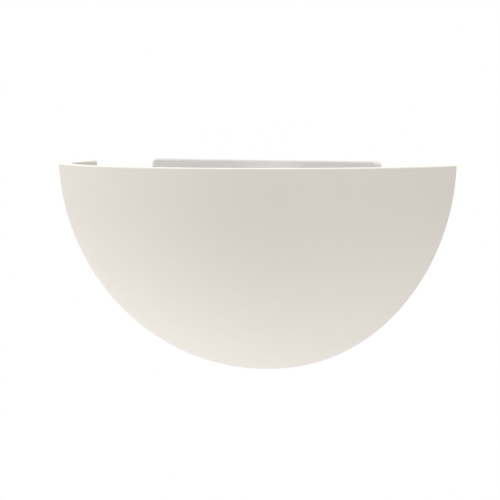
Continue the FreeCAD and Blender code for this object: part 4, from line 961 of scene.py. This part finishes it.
@dataclass(frozen=True)
class ThreadedStuds(Pattern):
    """Two weld studs that stand out from the plate, each with its flange, core, thread and bevelled tip."""

    name: str = "threaded_studs"
    inputs: Labels = (
        ("Radius", "Float"),
        ("Thread Depth", "Float"),
        ("Pitch", "Float"),
        ("Length", "Float"),
        ("Flange Radius", "Float"),
        ("Flange", "Float"),
        ("Spacing", "Float"),
        ("Foot", "Vector"),
    )
    core_sides: int = 24
    flange_sides: int = 32
    turn_points: int = 20
    ridge_share: float = 0.72
    ridge_start: float = 0.3 * MM
    plain_ends: float = 1.4 * MM
    tip_length: float = 0.6 * MM
    tip_share: float = 0.8
    tip_overlap: float = 0.05 * MM

    def wire(self, wiring: GeometryWiring, sizes: bpy.types.NodeOutputs) -> Socket:
        """Wind a ridge round a core, and set a copy of it on each of two points.

        Args:
            wiring: the tree's wiring.
            sizes: the tree's named inputs.

        Returns:
            The shape's socket.
        """
        core_radius = wiring.math("SUBTRACT", sizes["Radius"], sizes["Thread Depth"])
        tip = wiring.add("GeometryNodeMeshCone", {
            "Vertices": self.core_sides,
            "Radius Top": wiring.math("MULTIPLY", core_radius, self.tip_share),
            "Radius Bottom": wiring.math("ADD", core_radius, self.tip_overlap),
            "Depth": self.tip_length,
        })
        threaded = wiring.math("SUBTRACT", sizes["Length"], sizes["Flange"])
        run = wiring.math("SUBTRACT", threaded, self.plain_ends)
        ridge_size = wiring.math("MULTIPLY", sizes["Thread Depth"], self.ridge_share)
        middle = wiring.math("SUBTRACT", sizes["Radius"], ridge_size)
        turns = wiring.math("DIVIDE", run, sizes["Pitch"])
        ridge = wiring.wound(wiring.spiral(middle, middle, run, turns, self.turn_points), ridge_size, sides=4)
        stud = wiring.join(
            wiring.post(self.core_sides, core_radius, sizes["Length"]),
            wiring.post(self.flange_sides, sizes["Flange Radius"], sizes["Flange"]),
            wiring.moved(tip.outputs[0], wiring.along("Z", sizes["Length"])),
            wiring.moved(ridge, wiring.along("Z", wiring.math("ADD", sizes["Flange"], self.ridge_start))),
        )
        outward = wiring.moved(stud, turn=(QUARTER_TURN, 0.0, 0.0))
        side = wiring.along("X", wiring.math("MULTIPLY", sizes["Spacing"], -0.5))
        return wiring.row(outward, 2, wiring.vector("ADD", sizes["Foot"], side), sizes["Spacing"])


@dataclass(frozen=True)
class WoundSpring(Pattern):
    """A compression spring that lies along x."""

    name: str = "wound_spring"
    inputs: Labels = (
        ("Radius", "Float"),
        ("Wire Radius", "Float"),
        ("Turns", "Float"),
        ("Length", "Float"),
        ("Start", "Vector"),
    )
    turn_points: int = 28
    wire_sides: int = 10

    def wire(self, wiring: GeometryWiring, sizes: bpy.types.NodeOutputs) -> Socket:
        """Wind the turns, with half a wire's thickness kept at each end.

        Args:
            wiring: the tree's wiring.
            sizes: the tree's named inputs.

        Returns:
            The shape's socket.
        """
        radius, wire_radius = sizes["Radius"], sizes["Wire Radius"]
        rise = wiring.math("SUBTRACT", sizes["Length"], wiring.math("MULTIPLY", wire_radius, 2.0))
        line = wiring.spiral(radius, radius, rise, sizes["Turns"], self.turn_points)
        spring = wiring.wound(line, wire_radius, self.wire_sides)
        return wiring.moved(wiring.moved(spring, wiring.along("Z", wire_radius)), sizes["Start"], LAY_ALONG_X)


@dataclass(frozen=True)
class CoiledFilament(Pattern):
    """A tungsten coil along x, its straight leads, and the flat spirals that hold it off the quartz."""

    name: str = "coiled_filament"
    inputs: Labels = (
        ("Coil Radius", "Float"),
        ("Wire Radius", "Float"),
        ("Turns", "Float"),
        ("Coil Length", "Float"),
        ("Overall Length", "Float"),
        ("Supports", "Int"),
        ("Support Radius", "Float"),
        ("Middle", "Vector"),
    )
    coil_points: int = 9
    coil_sides: int = 5
    lead_radius: float = 0.33 * MM
    lead_sides: int = 12
    support_turns: float = 2.0
    support_points: int = 40
    support_wire_radius: float = 0.12 * MM
    support_sides: int = 6

    def wire(self, wiring: GeometryWiring, sizes: bpy.types.NodeOutputs) -> Socket:
        """Wind the coil, run a lead through each end, and set the supports at even steps.

        Args:
            wiring: the tree's wiring.
            sizes: the tree's named inputs.

        Returns:
            The shape's socket.
        """
        radius, length = sizes["Coil Radius"], sizes["Coil Length"]
        half = wiring.math("MULTIPLY", length, 0.5)
        line = wiring.spiral(radius, radius, length, sizes["Turns"], self.coil_points)
        coil = wiring.swept(line, wiring.circle(sizes["Wire Radius"], self.coil_sides))
        laid = wiring.moved(coil, wiring.along("X", wiring.math("MULTIPLY", half, -1.0)), LAY_ALONG_X)
        lead_length = wiring.math("SUBTRACT", wiring.math("MULTIPLY", sizes["Overall Length"], 0.5), half)
        lead = wiring.add("GeometryNodeMeshCylinder", {
            "Vertices": self.lead_sides, "Radius": self.lead_radius, "Depth": lead_length})
        out = wiring.math("ADD", half, wiring.math("MULTIPLY", lead_length, 0.5))
        right, left = (
            wiring.moved(lead.outputs[0], wiring.along("X", wiring.math("MULTIPLY", out, way)), LAY_ALONG_X)
            for way in (1.0, -1.0)
        )
        flat = wiring.spiral(radius, sizes["Support Radius"], 0.0, self.support_turns, self.support_points)
        support = wiring.swept(flat, wiring.circle(self.support_wire_radius, self.support_sides))
        step = wiring.math("DIVIDE", length, wiring.math("ADD", sizes["Supports"], 1.0))
        first = wiring.along("X", wiring.math("SUBTRACT", step, half))
        supports = wiring.row(wiring.moved(support, turn=LAY_ALONG_X), sizes["Supports"], first, step)
        return wiring.moved(wiring.join(laid, right, left, supports), sizes["Middle"])


@dataclass(frozen=True)
class SleevedWire(Pattern):
    """A round sleeve along a route, which keeps (cosine, sine, metres along) for its braid."""

    ATTRIBUTE = "sleeve"

    name: str = "sleeved_wire"
    inputs: Labels = (("Radius", "Float"), ("Spacing", "Float"))
    sides: int = 20

    def wire(self, wiring: GeometryWiring, sizes: bpy.types.NodeOutputs) -> Socket:
        """Even out the route's points, sweep the section along them and store where each point lies.

        Args:
            wiring: the tree's wiring.
            sizes: the tree's named inputs.

        Returns:
            The shape's socket.
        """
        route = wiring.add("GeometryNodeMeshToCurve", {"Mesh": sizes["Geometry"]}).outputs[0]
        steps: Inputs = {"Curve": route, "Length": sizes["Spacing"]}
        even = wiring.add("GeometryNodeResampleCurve", steps, mode="LENGTH")
        run = wiring.add("GeometryNodeSplineParameter").outputs["Length"]
        line, metres = self.captured(wiring, even.outputs[0], "FLOAT", run)
        spot = wiring.add("GeometryNodeInputPosition").outputs[0]
        ring, on_ring = self.captured(wiring, wiring.circle(sizes["Radius"], self.sides), "VECTOR", spot)
        unit = wiring.add("ShaderNodeSeparateXYZ", {0: wiring.vector("NORMALIZE", on_ring)}).outputs
        kept = wiring.add("ShaderNodeCombineXYZ", {"X": unit["X"], "Y": unit["Y"], "Z": metres}).outputs[0]
        store = wiring.add("GeometryNodeStoreNamedAttribute", data_type="FLOAT_VECTOR", domain="POINT")
        for key, value in (("Geometry", wiring.swept(line, ring)), ("Name", self.ATTRIBUTE), ("Value", kept)):
            wiring.feed(store, key, value)
        return store.outputs[0]

    def captured(self, wiring: GeometryWiring, line: Value, kind: str, value: Value) -> tuple[Socket, Socket]:
        """Keep a value on a curve's points.

        Args:
            wiring: the tree's wiring.
            line: the curve.
            kind: FLOAT or VECTOR.
            value: what to keep.

        Returns:
            The curve's socket and the kept value's socket.
        """
        node = wiring.add("GeometryNodeCaptureAttribute", {0: line}, domain="POINT")
        node.capture_items.new(kind, "kept")
        wiring.feed(node, "kept", value)
        return node.outputs[0], node.outputs["kept"]


# ---- the light's sub-assemblies --------------------------------------------------------------------


@dataclass
class Assembly:
    """A group of pieces that are made and dressed together."""

    finishes: dict[Slot, bpy.types.Material]

    def dress(self, slot: Slot, *nodes: str) -> None:
        """Give the CAD nodes their finish.

        Args:
            slot: the finish.
            nodes: the nodes' names.
        """
        for name in nodes:
            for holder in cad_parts[name].material_slots:
                holder.material = self.finishes[slot]
            log.info("%s is %s", name, slot.value)

    def fit(self, piece: bpy.types.Object, slot: Slot, body: str, *stands_for: str) -> bpy.types.Object:
        """Hang a new piece on its body, with its slot and the nodes that it stands for.

        Args:
            piece: the piece, in its place.
            slot: its finish.
            body: the body that it moves with.
            stands_for: CAD nodes that it replaces.

        Returns:
            The piece.
        """
        if not piece.data.materials:
            piece.data.materials.append(self.finishes[slot])
        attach(piece, body)
        if stands_for:
            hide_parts(*stands_for)
        log.info("%s rides on %s, with %d faces", piece.name, body, len(piece.data.polygons))
        return piece

    def build(self) -> None:
        """Make and dress the pieces."""
        raise NotImplementedError


@dataclass
class Bowl(Assembly):
    """The cast half bowl."""

    def build(self) -> None:
        """Dress the casting."""
        self.dress(Slot.PLASTER, "bowl")


@dataclass
class WallMount(Assembly):
    """The pressed plate, and the studs, washers and thumb nuts that clamp the bowl to it."""

    stud_radius: float = 2.0 * MM
    stud_length: float = 24.0 * MM
    tip_allowance: float = 0.3 * MM
    thread_depth: float = 0.38 * MM
    thread_pitch: float = 0.7 * MM
    flange_radius: float = 3.2 * MM
    flange: float = 0.8 * MM
    stud_spacing: float = 144.0 * MM
    stud_foot: Triple = (0.0, -6.0 * MM, -8.0 * MM)

    def build(self) -> None:
        """Dress the plate and the nuts, and thread the studs."""
        self.dress(Slot.ENAMEL, "wall_plate")
        self.dress(Slot.FIBRE, "nut_washer_left", "nut_washer_right")
        self.dress(Slot.NICKEL, "thumb_nut_left", "thumb_nut_right")
        studs = ThreadedStuds().grow("bowl_studs_threaded", {
            "Radius": self.stud_radius,
            "Thread Depth": self.thread_depth,
            "Pitch": self.thread_pitch,
            "Length": self.stud_length - self.tip_allowance,
            "Flange Radius": self.flange_radius,
            "Flange": self.flange,
            "Spacing": self.stud_spacing,
            "Foot": self.stud_foot,
            "Material": self.finishes[Slot.ZINC],
        })
        self.fit(studs, Slot.ZINC, "fitting", "bowl_studs")


@dataclass
class Tray(Assembly):
    """The folded tray with its rivets, and the reflector that is screwed to it."""

    def build(self) -> None:
        """Dress the folded and rolled sheet and what holds it."""
        self.dress(Slot.ENAMEL, "lamp_tray")
        self.dress(Slot.RIVET, "tray_rivets")
        self.dress(Slot.MIRROR_SHEET, "reflector")
        self.dress(Slot.ZINC, "reflector_screws")


@dataclass
class Lampholders(Assembly):
    """Both steatite holders with their contacts, springs and terminals."""

    spring_radius: float = 2.4 * MM
    spring_wire_radius: float = 0.3 * MM
    spring_turns: float = 5.0
    spring_length: float = 5.8 * MM
    spring_start: float = 70.15 * MM
    tag_face: float = 76.0 * MM
    press: float = 2.5 * MM
    axis_reach: float = 62.0 * MM
    axis_lift: float = 50.0 * MM

    def build(self) -> None:
        """Dress the holders, and wind a spring for each."""
        self.dress(Slot.STEATITE, "lampholder_left", "lampholder_right")
        self.dress(Slot.ZINC, "lampholder_screws")
        self.dress(Slot.CONTACT, "contact_pin_left", "contact_pin_right")
        self.dress(Slot.BRASS, "contact_terminal_left", "contact_terminal_right")
        for side, sign in (("left", -1.0), ("right", 1.0)):
            inner = min(sign * self.spring_start, sign * (self.spring_start + self.spring_length))
            spring = WoundSpring().grow(f"contact_spring_{side}_wound", {
                "Radius": self.spring_radius,
                "Wire Radius": self.spring_wire_radius,
                "Turns": self.spring_turns,
                "Length": self.spring_length,
                "Start": (inner, -self.axis_reach, self.axis_lift),
                "Material": self.finishes[Slot.SPRING],
            })
            self.fit(spring, Slot.SPRING, "fitting", f"contact_spring_{side}")
            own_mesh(spring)


@dataclass
class HalogenLamp(Assembly):
    """The two-ended lamp: quartz tube, ceramic ends, and a coil on its supports."""

    axis: Triple = (0.0, -62.0 * MM, 50.0 * MM)
    tube_radius: float = 5.0 * MM
    bore_radius: float = 4.0 * MM
    coil_radius: float = 0.72 * MM
    coil_wire_radius: float = 0.11 * MM
    coil_turns: float = 150.0
    coil_length: float = 76.0 * MM
    filament_length: float = 103.6 * MM
    supports: int = 5
    support_gap: float = 0.2 * MM
    tip_sides: int = 20
    tip_sink: float = 0.35 * MM
    tip_profile: tuple[tuple[float, float], ...] = (
        (1.7, 0.0), (1.45, 0.25), (1.15, 0.7), (0.8, 1.3), (0.45, 1.85), (0.2, 2.1),
    )
    tip_height: float = 2.2

    def build(self) -> None:
        """Dress the tube and its ends, wind the coil, and add the sealed tip of the tube."""
        self.dress(Slot.QUARTZ, "lamp_tube")
        self.dress(Slot.LAMP_END, "lamp_cap_left", "lamp_cap_right")
        coil = CoiledFilament().grow("filament_coil", {
            "Coil Radius": self.coil_radius,
            "Wire Radius": self.coil_wire_radius,
            "Turns": self.coil_turns,
            "Coil Length": self.coil_length,
            "Overall Length": self.filament_length,
            "Supports": self.supports,
            "Support Radius": self.bore_radius - self.support_gap,
            "Middle": self.axis,
            "Material": self.finishes[Slot.TUNGSTEN],
        })
        self.fit(coil, Slot.TUNGSTEN, "lamp", "lamp_filament")
        self.fit(self.sealed_tip(), Slot.QUARTZ, "lamp")

    def sealed_tip(self) -> bpy.types.Object:
        """The small drop of quartz where the tube was pumped out and sealed.

        Returns:
            The drop, on top of the tube.
        """
        form = bmesh.new()
        base = self.tube_radius - self.tip_sink
        turns = [2 * math.pi * step / self.tip_sides for step in range(self.tip_sides)]
        rings = []
        for radius, height in self.tip_profile:
            level = base + height * MM
            spots = [(radius * MM * math.cos(turn), radius * MM * math.sin(turn), level) for turn in turns]
            rings.append([form.verts.new(spot) for spot in spots])
        top = form.verts.new((0.0, 0.0, base + self.tip_height * MM))
        for lower, upper in zip(rings, rings[1:]):
            for step in range(self.tip_sides):
                following = (step + 1) % self.tip_sides
                form.faces.new((lower[step], lower[following], upper[following], upper[step]))
        for step in range(self.tip_sides):
            form.faces.new((rings[-1][step], rings[-1][(step + 1) % self.tip_sides], top))
        form.faces.new(list(reversed(rings[0])))
        for face in form.faces:
            face.smooth = True
        mesh = bpy.data.meshes.new("lamp_tube_tip")
        form.to_mesh(mesh)
        form.free()
        mesh.transform(Matrix.Translation(Vector(self.axis)))
        tip = bpy.data.objects.new("lamp_tube_tip", mesh)
        bpy.context.scene.collection.objects.link(tip)
        return tip


@dataclass
class Supply(Assembly):
    """Terminal block, cable inlet and earth."""

    def build(self) -> None:
        """Dress the electrical pieces on the plate."""
        self.dress(Slot.PORCELAIN, "terminal_block")
        self.dress(Slot.BRASS, "terminal_inserts", "earth_screw")
        self.dress(Slot.ZINC, "terminal_screws", "block_screws", "clamp_screws")
        self.dress(Slot.RUBBER, "cable_grommet")
        self.dress(Slot.NYLON, "cable_clamp")
        self.dress(Slot.TINNED, "earth_tag")


@dataclass(frozen=True)
class Route:
    """Where one wire runs, in millimetres, from its terminal to its other end."""

    wire: str
    slot: Slot
    points: tuple[Triple, ...]
    steps: int = 16

    def polyline(self) -> bpy.types.Mesh:
        """The route as a smooth line.

        Returns:
            A mesh of edges along the spline that the points control.
        """
        curve = bpy.data.curves.new(f"{self.wire}_route", "CURVE")
        curve.dimensions = "3D"
        spline = curve.splines.new("NURBS")
        spline.points.add(len(self.points) - 1)
        for point, spot in zip(spline.points, self.points):
            point.co = (*(part * MM for part in spot), 1.0)
        spline.order_u = 3
        spline.use_endpoint_u = True
        spline.resolution_u = self.steps
        line = bpy.data.objects.new(curve.name, curve)
        bpy.context.scene.collection.objects.link(line)
        graph = bpy.context.evaluated_depsgraph_get()
        mesh = bpy.data.meshes.new_from_object(line.evaluated_get(graph), depsgraph=graph)
        bpy.data.objects.remove(line)
        return mesh


@dataclass
class Wires(Assembly):
    """The light's own three sleeved wires."""

    radius: float = 1.2 * MM
    spacing: float = 0.6 * MM
    routes: tuple[Route, ...] = (
        Route("live_wire", Slot.SLEEVE_BROWN, (
            (-4.5, -13.0, 46.5), (-4.5, -13.0, 34.0), (-29.0, -14.5, 30.0),
            (-60.0, -21.0, 31.5), (-76.6, -36.0, 30.6), (-76.6, -64.5, 30.6),
        )),
        Route("neutral_wire", Slot.SLEEVE_BLUE, (
            (7.5, -13.0, 46.5), (7.5, -13.0, 34.0), (29.0, -19.5, 30.0),
            (60.0, -21.0, 31.5), (76.6, -36.0, 30.6), (76.6, -64.5, 30.6),
        )),
        Route("earth_wire", Slot.SLEEVE_GREEN, (
            (19.5, -13.0, 46.5), (19.5, -13.0, 34.0), (35.0, -12.0, 27.5),
            (50.0, -7.9, 31.0), (50.0, -7.9, 42.0),
        )),
    )

    def build(self) -> None:
        """Sleeve each route."""
        for route in self.routes:
            sizes = {"Radius": self.radius, "Spacing": self.spacing, "Material": self.finishes[route.slot]}
            wire = SleevedWire().grow(f"{route.wire}_sleeved", sizes, route.polyline())
            self.fit(wire, route.slot, "fitting", route.wire)


# ---- studio ----------------------------------------------------------------------------------------


@dataclass(frozen=True)
class SoftLamp:
    """A square area lamp that faces a point."""

    name: str
    place: Triple
    size: float
    watts: float
    colour: Colour = (1.0, 1.0, 1.0)
    faces: Triple = (0.0, -0.07, 0.0)

    def build(self) -> None:
        """Hang the lamp."""
        light = bpy.data.lights.new(self.name, "AREA")
        light.shape = "SQUARE"
        light.size = self.size
        light.energy = self.watts
        light.color = self.colour
        lamp = bpy.data.objects.new(self.name, light)
        lamp.location = self.place
        lamp.rotation_euler = (Vector(self.faces) - Vector(self.place)).to_track_quat("-Z", "Y").to_euler()
        lamp.visible_camera = False
        bpy.context.scene.collection.objects.link(lamp)


@dataclass(frozen=True)
class Studio:
    """A pale floor far below, a white surround, soft lamps, and the photograph's camera."""

    floor_level: float = -0.70
    floor_radius: float = 1.15
    floor_sides: int = 96
    floor_fade: float = 0.6
    floor_colour: Colour = (0.82, 0.82, 0.81)
    surround: Colour = (1.0, 0.99, 0.985)
    surround_strength: float = 0.54
    camera_place: Triple = (1.1656, -2.3034, 0.1355)
    yaw: float = 0.4731
    pitch: float = 0.0498
    roll: float = 0.0003
    lens: float = 257.07
    sensor: float = 36.0
    reach: float = 20.0
    lamps: tuple[SoftLamp, ...] = (
        SoftLamp("overhead_lamp", (0.0, -0.3, 2.6), 2.0, 52.0),
        SoftLamp("low_left_lamp", (-1.2, -0.6, -0.55), 0.9, 2.9),
        SoftLamp("left_lamp", (-1.6, -0.8, 0.1), 0.9, 2.7),
        SoftLamp("right_lamp", (1.6, -0.9, -0.2), 0.9, 2.4),
        SoftLamp("under_lamp", (0.0, -0.35, -0.66), 1.9, 2.7, faces=(0.0, -0.35, 0.0)),
    )

    def build(self) -> None:
        """Make the surround, the floor, the lamps and the camera."""
        self.build_surround()
        self.build_floor()
        for lamp in self.lamps:
            lamp.build()
        self.build_camera()

    def build_surround(self) -> None:
        """Make it white to the eye, in reflections and through glass, and dimmer as a light."""
        world = bpy.data.worlds.new("surround")
        bpy.context.scene.world = world
        world.use_nodes = True
        wiring = ShaderWiring(world.node_tree)
        rays = wiring.add("ShaderNodeLightPath").outputs
        shiny = wiring.math("MAXIMUM", rays["Is Glossy Ray"], rays["Is Transmission Ray"])
        seen = wiring.math("MAXIMUM", rays["Is Camera Ray"], shiny)
        warm = (*self.surround, 1.0)
        dim = wiring.add("ShaderNodeBackground", {"Color": warm, "Strength": self.surround_strength})
        white = wiring.add("ShaderNodeBackground", {"Color": (1.0, 1.0, 1.0, 1.0), "Strength": 1.0})
        both = wiring.add("ShaderNodeMixShader", {0: seen, 1: dim.outputs[0], 2: white.outputs[0]})
        wiring.add("ShaderNodeOutputWorld", {"Surface": both.outputs[0]})

    def build_floor(self) -> None:
        """A round pale floor whose edge fades out, and which doesn't hide the light from below."""
        form = bmesh.new()
        bmesh.ops.create_circle(form, cap_ends=True, segments=self.floor_sides, radius=self.floor_radius)
        mesh = bpy.data.meshes.new("floor")
        form.to_mesh(mesh)
        form.free()
        mesh.transform(Matrix.Translation(Vector((0.0, 0.0, self.floor_level))))
        floor = bpy.data.objects.new("floor", mesh)
        bpy.context.scene.collection.objects.link(floor)
        paint = bpy.data.materials.new("floor_paint")
        paint.use_nodes = True
        wiring = ShaderWiring(paint.node_tree)
        place = wiring.add("ShaderNodeTexCoord").outputs["Object"]
        out = wiring.vector("DISTANCE", place, (0.0, 0.0, self.floor_level), output="Value")
        fade = wiring.spread(out, self.floor_fade * self.floor_radius, self.floor_radius)
        below = wiring.add("ShaderNodeNewGeometry").outputs["Backfacing"]
        pale = wiring.add("ShaderNodeBsdfDiffuse", {"Color": (*self.floor_colour, 1.0)})
        clear = wiring.add("ShaderNodeBsdfTransparent")
        gone = wiring.math("MAXIMUM", fade, below)
        both = wiring.add("ShaderNodeMixShader", {0: gone, 1: pale.outputs[0], 2: clear.outputs[0]})
        wiring.add("ShaderNodeOutputMaterial", {"Surface": both.outputs[0]})
        mesh.materials.append(paint)

    def build_camera(self) -> None:
        """The photograph's view: long lens, a little above the rim, about 28 degrees to the right."""
        view = Vector((
            -math.sin(self.yaw) * math.cos(self.pitch),
            math.cos(self.yaw) * math.cos(self.pitch),
            -math.sin(self.pitch),
        ))
        right = Vector((math.cos(self.yaw), math.sin(self.yaw), 0.0))
        up = right.cross(view)
        rolled_right = right * math.cos(self.roll) + up * math.sin(self.roll)
        rolled_up = up * math.cos(self.roll) - right * math.sin(self.roll)
        turn = Matrix((rolled_right, rolled_up, -view)).transposed().to_4x4()
        lens = bpy.data.cameras.new("camera")
        lens.lens = self.lens
        lens.sensor_width = self.sensor
        lens.clip_end = self.reach
        camera = bpy.data.objects.new("camera", lens)
        camera.matrix_world = Matrix.Translation(Vector(self.camera_place)) @ turn
        bpy.context.scene.collection.objects.link(camera)
        bpy.context.scene.camera = camera
        bpy.context.scene.view_settings.view_transform = "Standard"


def main() -> None:
    """Make the finishes, dress the light from the wall outwards, and set up the studio."""
    finishes = {finish.slot: finish.material() for finish in FINISHES}
    for assembly in (Bowl, WallMount, Tray, Lampholders, HalogenLamp, Supply, Wires):
        assembly(finishes).build()
        log.info("%s done", assembly.__name__)
    Studio().build()


if __name__ == "__main__":
    logging.basicConfig(level=logging.INFO, format="%(name)s: %(message)s")
    main()
